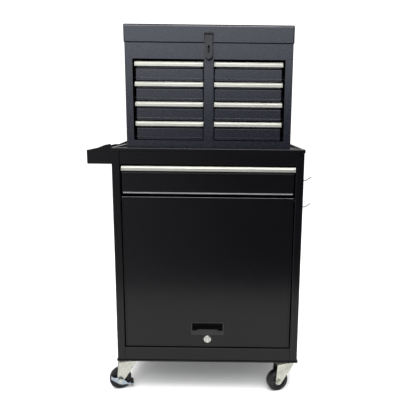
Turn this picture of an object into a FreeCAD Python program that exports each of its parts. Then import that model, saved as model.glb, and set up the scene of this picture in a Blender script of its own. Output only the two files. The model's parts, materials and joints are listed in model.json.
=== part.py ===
import FreeCAD, Part
import math
import os

# Rolling tool cabinet: a removable chest of small drawers stands on a cabinet on four casters.
# Millimetres. X to the right, Y to the back, Z up. While the pieces are drawn, X = 0 is the middle
# of the cabinet, Y = 0 is its front face and Z = 0 is the floor. The finished set is then moved so
# that its origin is the middle of its own bounding box, on the floor.

# Sheet metal
sheet = 1.0
bend_radius = 2.0
seam_gap = 0.3
running_gap = 0.3
slide_gap = 0.5
pin_clearance = 0.05
bend_clearance = 0.1
hole_clearance = 0.2

# Cabinet body
cabinet_width = 520.0
cabinet_depth = 330.0
caster_height = 102.0
stile_width = 22.0
stile_return = 8.0
rear_flange = 20.0
top_flange = 19.0
bottom_rail_height = 42.0
bottom_rail_shelf = 18.0
bottom_rail_lip = 8.0
rail_flange = 10.0
door_height = 444.0
door_foot_gap = 4.0
door_head_gap = 7.0
large_drawer_height = 71.0
large_drawer_head_gap = 4.0
top_rail_height = 35.0
top_rail_flange = 15.0
lip_overhang = 2.5
base_lip_height = 4.0
base_corner = 4.0
rim_height = 10.0
rim_width = 9.0
rim_corner = 6.0
rim_roll = 3.0

# Door, its pull and its guides
door_side_gap = 3.0
door_inset = 1.0
door_return = 18.0
pivot_depth = 11.0
pivot_drop = 16.0
pivot_radius = 2.5
pivot_head_radius = 4.5
pivot_head = 2.0
pivot_reach = 7.0
glide_length = 18.0
glide_height = 14.0
glide_width = 16.5
glide_edge = 2.0
track_clearance = 1.0
track_end_gap = 4.0
pull_width = 94.0
pull_height = 39.5
pull_drop = 368.0
pull_plate = 1.0
pull_corner = 3.0
pull_mouth_width = 87.0
pull_mouth_height = 23.0
pull_mouth_drop = 3.4
pull_cup_depth = 14.0
pull_lip_width = 62.0
pull_lip_height = 5.8
pull_lip_thickness = 1.5

# Door lock
lock_drop = 420.0
lock_face_radius = 11.0
lock_face = 2.5
lock_face_edge = 1.5
lock_barrel_radius = 8.0
lock_barrel = 19.0
lock_plug_radius = 5.0
lock_nut_across = 22.0
lock_nut = 3.0
cam_length = 35.0
cam_width = 12.0
cam_thickness = 2.0
keyway_width = 1.2
keyway_height = 6.0
keyway_depth = 3.0

# Pulls along the drawer fronts
handle_thickness = 1.4
handle_standoff = 8.0
handle_drop = 11.0
handle_slope = 4.5
handle_seat = 8.0

# Large drawer
large_front_side_gap = 4.0
large_front_inset = 2.0
large_handle_side_gap = 1.5
front_return = 10.0
front_edge_radius = 1.2
large_tray_depth = 300.0
large_tray_lift = 4.0
large_tray_height = 52.0
runner_height = 35.0
runner_lift = 16.0
runner_lip = 9.0
runner_wall = 14.0
runner_front_gap = 1.0
runner_end_gap = 5.0
slide_depth = 15.0
slide_start = 14.0
slide_length = 290.0

# Chest
chest_width = 450.0
chest_depth = 260.0
chest_setback = 35.0
chest_stile = 20.5
chest_rear_flange = 15.0
chest_bottom_rail = 28.0
chest_opening_height = 215.5
fascia_height = 43.5
lid_overlap = 9.0
chest_base_height = 12.0
mullion_width = 28.0
till_height = 11.0
drawer_rows = 4
row_pitch = 52.5
row_head_gap = 7.0
small_drawer_height = 44.0
small_front_inset = 2.0
small_front_inner_gap = 4.5
small_front_outer_gap = 8.5
small_handle_inner_gap = 0.8
small_handle_outer_gap = 3.5
small_tray_side_gap = 2.0
small_tray_depth = 235.0
small_tray_lift = 3.0
small_tray_height = 34.0
ledge_overlap = 6.0
ledge_flange = 10.0
ledge_guide = 3.0
ledge_start = 13.0
ledge_end_gap = 15.0

# Lid and its hinge
lid_height = 45.0
lid_gap = 1.0
lid_corner = 4.0
hinge_length = 360.0
hinge_knuckles = 9
hinge_pin_radius = 1.2
knuckle_radius = 2.3
knuckle_gap = 0.4
hinge_offset = 2.6
hinge_drop = 0.5
hinge_leaf = 21.0
hinge_step = 5.5

# Hasp on the lid and its staple
bracket_width = 25.0
bracket_height = 22.0
bracket_head_gap = 20.0
hasp_plate = 1.2
hasp_knuckle_radius = 2.4
hasp_knuckle_width = 16.0
hasp_knuckle_seat = 0.2
hasp_pin_drop = 3.5
strap_width = 20.0
strap_length = 68.0
strap_point = 7.0
strap_rest_angle = 12.5
slot_width = 5.0
slot_length = 20.0
slot_drop = 31.5
ear_thickness = 2.4
ear_height = 15.0
ear_reach = 12.5
ear_eye_radius = 2.4
ear_edge = 1.0
staple_width = 14.0
staple_margin = 3.0

# Side tray and hooks
tray_projection = 69.0
tray_front = 12.0
tray_length = 300.0
tray_depth = 38.0
tray_drop = 36.0
tray_back_height = 32.0
tray_hem = 5.0
tray_flat = 15.0
tray_slope = 35.0
tray_rise = 14.0
tray_inner_rise = 3.0
tray_rim_clearance = 1.0
hook_depth = 120.0
hook_height = 623.0
hook_pitch = 80.0
hook_wire_radius = 1.9
hook_tip_edge = 1.2
hook_reach = 42.0
hook_dip = 3.0
hook_tip_rise = 11.0
hook_plate_width = 14.0
hook_plate_height = 28.0
hook_plate = 2.0
hook_screw_offset = 9.0

# Casters
caster_inset_x = 26.0
caster_inset_y = 38.0
caster_plate_x = 48.0
caster_plate_y = 56.0
caster_plate = 2.5
caster_plate_corner = 4.0
caster_bolt_x = 34.0
caster_bolt_y = 42.0
swivel_offset = 28.6
wheel_radius = 31.75
tyre_width = 22.0
tyre_edge = 4.0
tyre_inner_radius = 24.0
hub_width = 24.0
hub_rim = 3.0
hub_dish = 2.0
hub_boss_radius = 10.0
axle_radius = 4.0
fork_gap = 25.5
fork_sheet = 2.5
fork_bend = 5.0
fork_corner = 4.0
fork_nose = 17.0
fork_tail = 33.0
fork_brow = 9.0
fork_eye_radius = 10.0
race_radius = 19.0
crown_race_radius = 17.0
race_depth = 6.2
race_edge = 1.5
crown_race_height = 3.5
king_pin_radius = 4.5
king_head_radius = 7.5
king_head = 3.0
axle_head_across = 12.0
axle_head = 4.0
axle_nut = 5.0
front_left_turn = 195.0
front_right_turn = 198.0
rear_left_turn = 190.0
rear_right_turn = 202.0

# Brake lever on a caster
lever_sheet = 2.0
lever_tail = 27.0
lever_horn = 16.0
lever_brow = 9.5
lever_toe = 20.0
lever_drop = 15.5
pad_angle = 25.5
pad_clearance = 1.0
pad_length = 8.0
pad_height = 10.0
pad_width = 22.0
pad_edge = 2.0
pad_tab_cover = 0.8
pad_side_gap = 1.0

# Fasteners
bolt_radius = 3.0
bolt_across = 10.0
bolt_head = 3.5
bolt_nut = 4.5
screw_radius = 2.0
screw_head_radius = 4.0
screw_head = 2.0
screw_shank = 6.0
tray_screw_inset = 28.0
back_screw_rows = 4
back_screw_inset = 40.0

# Heights worked out from the stack of pieces
base_z = caster_height
base_floor_z = base_z + sheet
bottom_rail_top = base_z + bottom_rail_height
door_bottom = bottom_rail_top + door_foot_gap
door_top = door_bottom + door_height
large_front_bottom = door_top + door_head_gap
large_handle_top = large_front_bottom + large_drawer_height
large_front_top = large_handle_top - handle_thickness
top_rail_bottom = large_handle_top + large_drawer_head_gap
body_top = top_rail_bottom + top_rail_height
pan_floor_top = body_top + sheet
rim_top = body_top + rim_height
chest_bottom = pan_floor_top
opening_bottom = chest_bottom + chest_bottom_rail
opening_top = opening_bottom + chest_opening_height
lid_bottom = opening_top + fascia_height
chest_wall_top = lid_bottom + lid_overlap
lid_top = lid_bottom + lid_height

# Widths and depths worked out from the body
half_width = cabinet_width / 2
side_inner = half_width - sheet
opening_half = half_width - stile_width
rim_half = half_width + lip_overhang
rim_front = -lip_overhang
rim_back = cabinet_depth + lip_overhang
back_inner = cabinet_depth - 2 * sheet
chest_half = chest_width / 2
chest_front = chest_setback
chest_back = chest_front + chest_depth
chest_side_inner = chest_half - sheet
chest_opening_half = chest_half - chest_stile
chest_back_inner = chest_back - 2 * sheet
mullion_half = mullion_width / 2

# Door pivot, lock and pull
door_half = opening_half - door_side_gap
door_front = door_inset
door_back = door_front + door_return
pivot_y = door_front + pivot_depth
pivot_z = door_top - pivot_drop
track_inner = opening_half + sheet + track_clearance
glide_inner = track_inner + slide_gap
lock_z = door_top - lock_drop
pull_top = door_top - pull_drop
pull_bottom = pull_top - pull_height
mouth_top = pull_top - pull_mouth_drop
mouth_bottom = mouth_top - pull_mouth_height
cam_front = door_front + lock_barrel + running_gap

# Large drawer
large_front_half = opening_half - large_front_side_gap
large_handle_half = opening_half - large_handle_side_gap
large_front_y = large_front_inset
large_tray_front = large_front_y + sheet
large_tray_bottom = large_front_bottom + large_tray_lift
runner_web = opening_half - sheet
large_tray_half_width = runner_web - slide_depth
runner_bottom = large_front_bottom + runner_lift
runner_top = runner_bottom + runner_height
runner_start = large_front_y + front_return + runner_front_gap

# Small drawers
small_front_y = chest_front + small_front_inset
small_front_x = (mullion_half + small_front_inner_gap, chest_opening_half - small_front_outer_gap)
small_handle_x = (mullion_half + small_handle_inner_gap, chest_opening_half - small_handle_outer_gap)
small_tray_x = (small_front_x[0] + small_tray_side_gap, small_front_x[1] - small_tray_side_gap)
small_tray_y = (small_front_y + sheet, small_front_y + sheet + small_tray_depth)
small_front_height = small_drawer_height - handle_thickness
ledge_y = (chest_front + ledge_start, chest_back_inner - ledge_end_gap)

# Lid hinge and hasp
lid_half = chest_half + lid_gap + sheet
lid_front = chest_front - lid_gap - sheet
lid_back = chest_back + lid_gap + sheet
hinge_y = lid_back + hinge_offset
hinge_z = lid_bottom - hinge_drop
bracket_top = lid_top - bracket_head_gap
hasp_axis_z = bracket_top - hasp_pin_drop
hasp_axis_y = lid_front - hasp_plate - hasp_knuckle_radius + hasp_knuckle_seat
strap_back = lid_front - hasp_plate - running_gap
strap_front = strap_back - hasp_plate

# Casters
wheel_z = wheel_radius
crown_top = caster_height - caster_plate - race_depth - running_gap - crown_race_height
leg_inner = fork_gap / 2
leg_outer = leg_inner + fork_sheet
lever_inner = leg_outer + running_gap
lever_outer = lever_inner + lever_sheet
caster_x = half_width - caster_inset_x
caster_y = (caster_inset_y, cabinet_depth - caster_inset_y)
casters = {
    "front_left": (-caster_x, caster_y[0], front_left_turn, True),
    "front_right": (caster_x, caster_y[0], front_right_turn, False),
    "rear_left": (-caster_x, caster_y[1], rear_left_turn, False),
    "rear_right": (caster_x, caster_y[1], rear_right_turn, True),
}


def vec(x, y, z):
    return FreeCAD.Vector(x, y, z)


def block(x, y, z):
    """Box between pairs of limits."""
    size = (x[1] - x[0], y[1] - y[0], z[1] - z[0])
    return Part.makeBox(size[0], size[1], size[2], vec(x[0], y[0], z[0]))


def rod(start, direction, radius, length):
    return Part.makeCylinder(radius, length, vec(*start), vec(*direction))


def union(*shapes):
    """One clean solid from touching shapes."""
    joined = shapes[0].fuse(list(shapes[1:])).removeSplitter()
    return joined.Solids[0] if len(joined.Solids) == 1 else joined


def cut(shape, *tools):
    """The shape without the tools."""
    left = shape.cut(list(tools))
    return left.Solids[0] if len(left.Solids) == 1 else left


def group(shapes):
    """Separate solids kept side by side in one node."""
    solids = []
    for shape in shapes:
        solids.extend(shape.Solids)
    return Part.makeCompound(solids)


def mirrored(shape):
    """The same piece on the other side of the middle plane."""
    return shape.mirror(vec(0, 0, 0), vec(1, 0, 0))


def lift(axis, point, level):
    """A flat point set at a level along the axis its outline is square to."""
    places = {
        "x": (level, point[0], point[1]),
        "y": (point[0], level, point[1]),
        "z": (point[0], point[1], level),
    }
    return vec(*places[axis])


def corner(before, point, after, radius):
    """Start, middle and end of the arc that rounds one corner of an outline."""
    back = (before[0] - point[0], before[1] - point[1])
    ahead = (after[0] - point[0], after[1] - point[1])
    back_length = math.hypot(*back)
    ahead_length = math.hypot(*ahead)
    back = (back[0] / back_length, back[1] / back_length)
    ahead = (ahead[0] / ahead_length, ahead[1] / ahead_length)
    half_angle = math.acos(max(-1.0, min(1.0, back[0] * ahead[0] + back[1] * ahead[1]))) / 2
    reach = radius / math.tan(half_angle)
    bisector = (back[0] + ahead[0], back[1] + ahead[1])
    scale = radius / math.sin(half_angle) / math.hypot(*bisector)
    centre = (point[0] + bisector[0] * scale, point[1] + bisector[1] * scale)
    towards = math.hypot(point[0] - centre[0], point[1] - centre[1])
    middle = tuple(centre[i] + (point[i] - centre[i]) * radius / towards for i in (0, 1))
    start = (point[0] + back[0] * reach, point[1] + back[1] * reach)
    end = (point[0] + ahead[0] * reach, point[1] + ahead[1] * reach)
    return start, middle, end


def prism(axis, points, start, end, radii=None):
    """Outline of straight sides and rounded corners, drawn square to an axis and extruded along it."""
    count = len(points)
    radii = radii or [0.0] * count
    corners = []
    for i, point in enumerate(points):
        if radii[i] > 0:
            corners.append(corner(points[i - 1], point, points[(i + 1) % count], radii[i]))
        else:
            corners.append((point, None, point))
    edges = []
    for i, (first, middle, last) in enumerate(corners):
        if middle:
            places = [lift(axis, place, start) for place in (first, middle, last)]
            edges.append(Part.Arc(*places).toShape())
        following = corners[(i + 1) % count][0]
        if math.hypot(following[0] - last[0], following[1] - last[1]) > 1e-6:
            edges.append(Part.makeLine(lift(axis, last, start), lift(axis, following, start)))
    face = Part.Face(Part.Wire(edges))
    return face.extrude(lift(axis, (0, 0), end) - lift(axis, (0, 0), start))


def folded(axis, path, start, end, thickness=sheet, bend=bend_radius):
    """Sheet folded along a path. The path is one face and the metal lies to the left of it."""
    normals = []
    for a, b in zip(path, path[1:]):
        length = math.hypot(b[0] - a[0], b[1] - a[1])
        normals.append(((a[1] - b[1]) / length, (b[0] - a[0]) / length))
    last = len(path) - 1
    other_face = []
    path_radii = []
    other_radii = []
    for i, point in enumerate(path):
        before = normals[max(i - 1, 0)]
        after = normals[min(i, last - 1)]
        share = 1 + before[0] * after[0] + before[1] * after[1]
        shift = ((before[0] + after[0]) / share, (before[1] + after[1]) / share)
        other_face.append((point[0] + thickness * shift[0], point[1] + thickness * shift[1]))
        turn = before[0] * after[1] - before[1] * after[0]
        inside = bend - thickness
        path_radii.append(0.0 if i in (0, last) else (bend if turn > 0 else inside))
        other_radii.append(0.0 if i in (0, last) else (inside if turn > 0 else bend))
    points = path + other_face[::-1]
    return prism(axis, points, start, end, path_radii + other_radii[::-1])


def rounded_block(x, y, z, radius):
    """Box with rounded upright corners."""
    points = [(x[0], y[0]), (x[1], y[0]), (x[1], y[1]), (x[0], y[1])]
    return prism("z", points, z[0], z[1], [radius] * 4)


def hexagon(axis, middle, across, start, end):
    """Six-sided head or nut."""
    reach = across / math.sqrt(3)
    angles = [math.radians(60 * i + 30) for i in range(6)]
    points = [(middle[0] + reach * math.cos(a), middle[1] + reach * math.sin(a)) for a in angles]
    return prism(axis, points, start, end)


def fillet(shape, radius, wanted):
    """Round the edges whose bounding box passes a test."""
    edges = [edge for edge in shape.Edges if wanted(edge.BoundBox)]
    return shape.makeFillet(radius, edges)


# Cabinet body

def back_screw_heights():
    span = body_top - base_floor_z - 2 * back_screw_inset
    return [base_floor_z + back_screw_inset + span * i / (back_screw_rows - 1) for i in range(back_screw_rows)]


def back_screw_places():
    x = half_width - rear_flange / 2
    return [(side * x, z) for side in (-1, 1) for z in back_screw_heights()]


def tray_screw_places():
    z = body_top - tray_drop + tray_back_height / 2
    ends = (tray_front + tray_screw_inset, tray_front + tray_length - tray_screw_inset)
    return [(y, z) for y in (ends[0], (ends[0] + ends[1]) / 2, ends[1])]


def hook_heights():
    return [hook_height, hook_height - hook_pitch]


def hook_screw_places():
    return [(hook_depth, z + side * hook_screw_offset) for z in hook_heights() for side in (-1, 1)]


def cabinet_side():
    """Right side: stile with its return, side wall and rear flange folded from one sheet."""
    path = [
        (opening_half, stile_return),
        (opening_half, 0),
        (half_width, 0),
        (half_width, cabinet_depth),
        (half_width - rear_flange, cabinet_depth),
    ]
    wall = folded("z", path, base_floor_z, body_top)
    flange_x = (side_inner - top_flange, half_width - sheet / 2)
    flange = block(flange_x, (sheet / 2, cabinet_depth - sheet / 2), (body_top - sheet, body_top))
    side = union(wall, flange)
    hole = screw_radius + hole_clearance
    depth = cabinet_depth + sheet
    holes = [rod((x, depth, z), (0, -1, 0), hole, 3 * sheet) for x, z in back_screw_places() if x > 0]
    return cut(side, *holes)


def cabinet_right_side():
    hole = screw_radius + hole_clearance
    holes = [rod((side_inner - sheet, y, z), (1, 0, 0), hole, 3 * sheet) for y, z in hook_screw_places()]
    return cut(cabinet_side(), *holes)


def cabinet_left_side():
    hole = screw_radius + hole_clearance
    start = -half_width - sheet
    holes = [rod((start, y, z), (1, 0, 0), hole, 3 * sheet) for y, z in tray_screw_places()]
    return cut(mirrored(cabinet_side()), *holes)


def cabinet_back():
    edge = half_width - bend_radius - bend_clearance
    panel = block((-edge, edge), (back_inner, back_inner + sheet), (base_floor_z, body_top - sheet))
    hole = screw_radius + hole_clearance
    holes = [rod((x, cabinet_depth, z), (0, -1, 0), hole, 3 * sheet) for x, z in back_screw_places()]
    return cut(panel, *holes)


def shrunk_block(inset, z, radius):
    """Rounded block that follows the rim's outline at an inset from it."""
    x = (-rim_half + inset, rim_half - inset)
    y = (rim_front + inset, rim_back - inset)
    return rounded_block(x, y, z, radius)


def cabinet_top():
    """Recessed top: a floor pan inside a hollow rolled rim."""
    outer = shrunk_block(0, (body_top, rim_top), rim_corner)
    outer = fillet(outer, rim_roll, lambda box: box.ZMin > rim_top - 1e-3)
    hollow = shrunk_block(sheet, (body_top - sheet, rim_top - sheet), rim_corner - sheet)
    hollow = fillet(hollow, rim_roll - sheet, lambda box: box.ZMin > rim_top - sheet - 1e-3)
    core = shrunk_block(rim_width - sheet, (body_top - sheet, rim_top), rim_corner - sheet)
    pocket = shrunk_block(rim_width, (pan_floor_top, rim_top + sheet), rim_corner - sheet)
    return cut(outer, hollow.cut(core), pocket)


def caster_bolt_places():
    places = []
    for x, y, turn, brake in casters.values():
        for i in (-1, 1):
            places.extend((x + i * caster_bolt_x / 2, y + j * caster_bolt_y / 2) for j in (-1, 1))
    return places


def cabinet_base():
    """Shallow pan that the sides stand in, drilled for the caster bolts."""
    outer = shrunk_block(0, (base_z, base_z + base_lip_height), base_corner)
    inner = shrunk_block(sheet, (base_floor_z, base_z + base_lip_height + sheet), base_corner - sheet)
    hole = bolt_radius + hole_clearance
    holes = [rod((x, y, base_z - sheet), (0, 0, 1), hole, 3 * sheet) for x, y in caster_bolt_places()]
    return cut(outer, inner, *holes)


def front_top_rail():
    half = opening_half - seam_gap
    path = [
        (top_rail_flange, body_top),
        (0, body_top),
        (0, top_rail_bottom),
        (top_rail_flange, top_rail_bottom),
        (top_rail_flange, top_rail_bottom + rail_flange / 2),
    ]
    return folded("x", path, -half, half)


def front_bottom_rail():
    """Rail under the door. Its shelf ends in a lip that the lock cam drops behind."""
    half = opening_half - seam_gap
    path = [
        (bottom_rail_shelf, bottom_rail_top - bottom_rail_lip),
        (bottom_rail_shelf, bottom_rail_top),
        (0, bottom_rail_top),
        (0, base_floor_z),
        (rail_flange, base_floor_z),
    ]
    return folded("x", path, -half, half)


def large_drawer_runner():
    """Right runner: a channel held off the side wall by an angle."""
    y = (runner_start, back_inner - runner_end_gap)
    path = [
        (runner_web - runner_lip, runner_top),
        (runner_web, runner_top),
        (runner_web, runner_bottom),
        (runner_web - runner_lip, runner_bottom),
    ]
    channel = folded("y", path[::-1], y[0], y[1])
    shelf = block((runner_web - bend_radius, side_inner), y, (runner_top - sheet, runner_top))
    wall = block((side_inner - sheet, side_inner), y, (runner_top - runner_wall, runner_top))
    return union(channel, shelf, wall)


def large_drawer_runners():
    runner = large_drawer_runner()
    return group([runner, mirrored(runner)])


def door_tracks():
    """Channels that the door's glides run in, one on each side wall."""
    half = glide_height / 2 + running_gap + sheet
    path = [
        (track_inner, pivot_z - half),
        (side_inner, pivot_z - half),
        (side_inner, pivot_z + half),
        (track_inner, pivot_z + half),
    ]
    track = folded("y", path, bend_radius + running_gap, back_inner - track_end_gap, bend=1.2 * sheet)
    return group([track, mirrored(track)])


def side_tray():
    """Open tray bolted to the left side, with an end plate that slopes up to the cabinet."""
    bottom = body_top - tray_drop
    top = bottom + tray_depth
    outer = -half_width - tray_projection
    end = tray_front + tray_length
    path = [
        (outer + tray_hem, top),
        (outer, top),
        (outer, bottom),
        (-half_width, bottom),
        (-half_width, bottom + tray_back_height),
    ]
    trough = folded("y", path, tray_front, end)
    inner = -rim_half - tray_rim_clearance
    outline = [
        (outer, bottom),
        (-half_width, bottom),
        (-half_width, bottom + tray_back_height),
        (inner, bottom + tray_back_height),
        (inner, top + tray_rise + tray_inner_rise),
        (outer + tray_flat + tray_slope, top + tray_rise),
        (outer + tray_flat, top),
        (outer, top),
    ]
    radii = [bend_radius, bend_radius, 0, 0, 0, 0, 0, bend_radius]
    plates = [prism("y", outline, y, y + sheet, radii) for y in (tray_front, end - sheet)]
    tray = union(trough, *plates)
    hole = screw_radius + hole_clearance
    holes = [rod((-half_width - 2 * sheet, y, z), (1, 0, 0), hole, 3 * sheet) for y, z in tray_screw_places()]
    return cut(tray, *holes)


def side_hook(z):
    """Bent wire hook on a small plate, on the right side."""
    root = half_width + hook_plate
    tip = half_width + hook_reach
    bend_x = root + (hook_reach - hook_plate) * 0.58
    turn = 3 * hook_wire_radius
    points = [
        (half_width + hook_plate / 2, z),
        (bend_x, z - hook_dip),
        (tip, z - hook_dip + hook_tip_rise),
    ]
    start, middle, end = corner(points[0], points[1], points[2], turn)
    places = [lift("y", place, hook_depth) for place in (points[0], start, middle, end, points[2])]
    edges = [
        Part.makeLine(places[0], places[1]),
        Part.Arc(places[1], places[2], places[3]).toShape(),
        Part.makeLine(places[3], places[4]),
    ]
    direction = places[1] - places[0]
    profile = Part.Wire(Part.makeCircle(hook_wire_radius, places[0], direction))
    wire = Part.Wire(edges).makePipeShell([profile], True, False)
    near = hook_wire_radius / 10
    wire = fillet(wire, hook_tip_edge, lambda box: (box.Center - places[4]).Length < near)
    y = (hook_depth - hook_plate_width / 2, hook_depth + hook_plate_width / 2)
    plate = block((half_width, root), y, (z - hook_plate_height / 2, z + hook_plate_height / 2))
    plate = fillet(plate, hook_plate_width / 4, lambda box: box.XLength > hook_plate - 1e-3 and box.YLength < 1e-3)
    hole = screw_radius + hole_clearance
    holes = [rod((half_width - sheet, hook_depth, z + side * hook_screw_offset), (1, 0, 0), hole, 4 * sheet)
             for side in (-1, 1)]
    return union(cut(plate, *holes), wire)


def side_hooks():
    return group([side_hook(z) for z in hook_heights()])


# Fasteners

def screw(place, direction):
    """Pan-head screw whose head sits on a surface and whose shank goes in along the direction."""
    back = tuple(-component * screw_head for component in direction)
    start = tuple(place[i] + back[i] for i in range(3))
    head = rod(start, direction, screw_head_radius, screw_head)
    shank = rod(place, direction, screw_radius, screw_shank)
    return union(head, shank)


def caster_bolt(x, y):
    """Hexagon bolt up through the caster plate and the base, and its nut on the base floor."""
    seat = base_z - caster_plate
    length = caster_plate + sheet + bolt_nut + sheet
    head = hexagon("z", (x, y), bolt_across, seat - bolt_head, seat)
    bolt = union(head, rod((x, y, seat), (0, 0, 1), bolt_radius, length))
    nut = hexagon("z", (x, y), bolt_across, base_floor_z, base_floor_z + bolt_nut)
    bore = rod((x, y, base_floor_z - sheet), (0, 0, 1), bolt_radius + pin_clearance, bolt_nut + 2 * sheet)
    return [bolt, cut(nut, bore)]


def cabinet_fasteners():
    solids = []
    for x, y in caster_bolt_places():
        solids.extend(caster_bolt(x, y))
    for y, z in tray_screw_places():
        solids.append(screw((-half_width - sheet, y, z), (1, 0, 0)))
    for y, z in hook_screw_places():
        solids.append(screw((half_width + hook_plate, y, z), (-1, 0, 0)))
    for x, z in back_screw_places():
        solids.append(screw((x, cabinet_depth, z), (0, -1, 0)))
    return group(solids)


# Casters, drawn with the king pin on the Z axis, the wheel trailing along +X and the axle along Y

def placed_caster(shape, name):
    """Turn a piece about the king pin and set it under its corner of the cabinet."""
    x, y, turn, brake = casters[name]
    shape = shape.copy()
    shape.rotate(vec(0, 0, 0), vec(0, 0, 1), turn)
    shape.translate(vec(x, y, 0))
    return shape


def caster_top_plate(x, y):
    """Plate with its pressed race and the king pin that carries the fork."""
    top = caster_height
    under = top - caster_plate
    half_x = caster_plate_x / 2
    half_y = caster_plate_y / 2
    plate = rounded_block((x - half_x, x + half_x), (y - half_y, y + half_y), (under, top), caster_plate_corner)
    race = rod((x, y, under - race_depth), (0, 0, 1), race_radius, race_depth)
    race = fillet(race, race_edge, lambda box: box.ZMax < under - race_depth + 1e-3)
    head_top = crown_top - fork_sheet - running_gap
    pin = rod((x, y, head_top - king_head), (0, 0, 1), king_pin_radius, under - head_top + king_head)
    head = rod((x, y, head_top - king_head), (0, 0, 1), king_head_radius, king_head)
    hole = bolt_radius + hole_clearance
    holes = []
    for i in (-1, 1):
        for j in (-1, 1):
            place = (x + i * caster_bolt_x / 2, y + j * caster_bolt_y / 2, under - sheet)
            holes.append(rod(place, (0, 0, 1), hole, caster_plate + 2 * sheet))
    return cut(union(plate, race, pin, head), *holes)


def caster_plates():
    return group([caster_top_plate(x, y) for x, y, turn, brake in casters.values()])


def fork_outline():
    """Side view of the fork legs, from the crown down to the axle eye."""
    axle = swivel_offset
    return [
        (-fork_nose, crown_top),
        (fork_tail, crown_top),
        (axle + fork_eye_radius, wheel_z),
        (axle, wheel_z),
        (axle - fork_eye_radius * 0.85, wheel_z - fork_eye_radius * 0.53),
        (-fork_nose, crown_top - fork_brow),
    ]


def caster_fork(brake):
    """Fork folded from one sheet with its race, and the axle bolt and nut that it holds."""
    low = wheel_z - fork_eye_radius
    path = [(leg_outer, low), (leg_outer, crown_top), (-leg_outer, crown_top), (-leg_outer, low)]
    yoke = folded("x", path, -fork_nose, swivel_offset + fork_eye_radius, fork_sheet, fork_bend)
    reach = leg_outer + sheet
    radii = [fork_corner, fork_corner, 0, 0, 0, fork_corner]
    side = prism("y", fork_outline(), -reach, reach, radii)
    eye = rod((swivel_offset, -reach, wheel_z), (0, 1, 0), fork_eye_radius, 2 * reach)
    yoke = yoke.common(side.fuse(eye))
    race = rod((0, 0, crown_top), (0, 0, 1), crown_race_radius, crown_race_height)
    king_hole = rod((0, 0, crown_top - 2 * fork_sheet), (0, 0, 1), king_pin_radius + pin_clearance, caster_height)
    axle_hole = rod((swivel_offset, -reach, wheel_z), (0, 1, 0), axle_radius + pin_clearance, 2 * reach)
    fork = cut(union(yoke, race), king_hole, axle_hole)
    nut_seat = lever_outer + running_gap if brake else leg_outer
    middle = (swivel_offset, wheel_z)
    head = hexagon("y", middle, axle_head_across, -leg_outer - axle_head, -leg_outer)
    length = leg_outer + nut_seat + axle_nut + sheet
    shank = rod((swivel_offset, -leg_outer, wheel_z), (0, 1, 0), axle_radius, length)
    nut = hexagon("y", middle, axle_head_across, nut_seat, nut_seat + axle_nut)
    bore = rod((swivel_offset, 0, wheel_z), (0, 1, 0), axle_radius + pin_clearance, 2 * length)
    return group([fork, union(head, shank), cut(nut, bore)])


def caster_wheel():
    """Rubber tyre on a moulded hub that turns on the axle bolt."""
    middle = (swivel_offset, -tyre_width / 2, wheel_z)
    tyre = rod(middle, (0, 1, 0), wheel_radius, tyre_width)
    tyre = fillet(tyre, tyre_edge, lambda box: box.YLength < 1e-3)
    seat = rod((swivel_offset, -tyre_width, wheel_z), (0, 1, 0), tyre_inner_radius + pin_clearance, 2 * tyre_width)
    hub = rod((swivel_offset, -hub_width / 2, wheel_z), (0, 1, 0), tyre_inner_radius, hub_width)
    dish = (hub_width - tyre_width) / 2 + hub_dish
    wells = []
    for side in (-1, 1):
        start = (swivel_offset, side * hub_width / 2, wheel_z)
        ring = rod(start, (0, -side, 0), tyre_inner_radius - hub_rim, dish)
        boss = rod(start, (0, -side, 0), hub_boss_radius, dish)
        wells.append(ring.cut(boss))
    bore = rod((swivel_offset, -hub_width, wheel_z), (0, 1, 0), axle_radius + pin_clearance, 2 * hub_width)
    return group([cut(tyre, seat), cut(hub, bore, *wells)])


def pad_point(reach, side):
    """Point at a distance from the axle along the line of the pad, and to one side of that line."""
    angle = math.radians(pad_angle)
    x = swivel_offset - reach * math.cos(angle) - side * math.sin(angle)
    return x, wheel_z - reach * math.sin(angle) + side * math.cos(angle)


def lever_outline(tab_end):
    """Side view of the rocker: a horn at its tail, the boss and an arm that runs out to the pad."""
    points = [
        (lever_tail, lever_brow * 0.6),
        (lever_tail * 0.96, lever_horn),
        (lever_tail * 0.7, lever_brow),
        (-lever_tail * 0.13, lever_brow * 0.8),
        (-lever_toe * 0.65, -lever_brow * 0.3),
        (-lever_toe, -lever_drop * 0.7),
        (-lever_toe, -lever_drop),
        (-lever_tail * 0.13, -lever_drop),
        (lever_tail * 0.19, -lever_drop * 0.78),
        (lever_tail * 0.51, -lever_drop * 0.35),
    ]
    outline = [(swivel_offset + x, wheel_z + z) for x, z in points]
    arm = [pad_point(tab_end, lever_sheet * 0.75), pad_point(tab_end, -lever_sheet * 0.75)]
    return outline[:6] + arm + outline[6:]


def brake_lever():
    """Rocker on the axle bolt, with a tab bent across in front of the tread and a pad on it."""
    pad_start = wheel_radius + pad_clearance
    tab = (pad_start + pad_tab_cover, pad_start + pad_length - pad_tab_cover)
    plate = prism("y", lever_outline(tab[1]), lever_inner, lever_outer)
    hole = rod((swivel_offset, 0, wheel_z), (0, 1, 0), axle_radius + pin_clearance, 2 * lever_outer)
    pad_y = (lever_inner - pad_side_gap - pad_width, lever_inner - pad_side_gap)
    tab_points = [pad_point(reach, side * lever_sheet / 2)
                  for reach, side in ((tab[0], -1), (tab[1], -1), (tab[1], 1), (tab[0], 1))]
    lever = union(cut(plate, hole), prism("y", tab_points, pad_y[0] + pad_tab_cover, lever_outer))
    pad_points = [pad_point(pad_start + reach, side * pad_height / 2)
                  for reach, side in ((0, -1), (pad_length, -1), (pad_length, 1), (0, 1))]
    pad = prism("y", pad_points, pad_y[0], pad_y[1], [pad_edge] * 4)
    return group([lever, cut(pad, lever)])


# Large drawer

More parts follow.
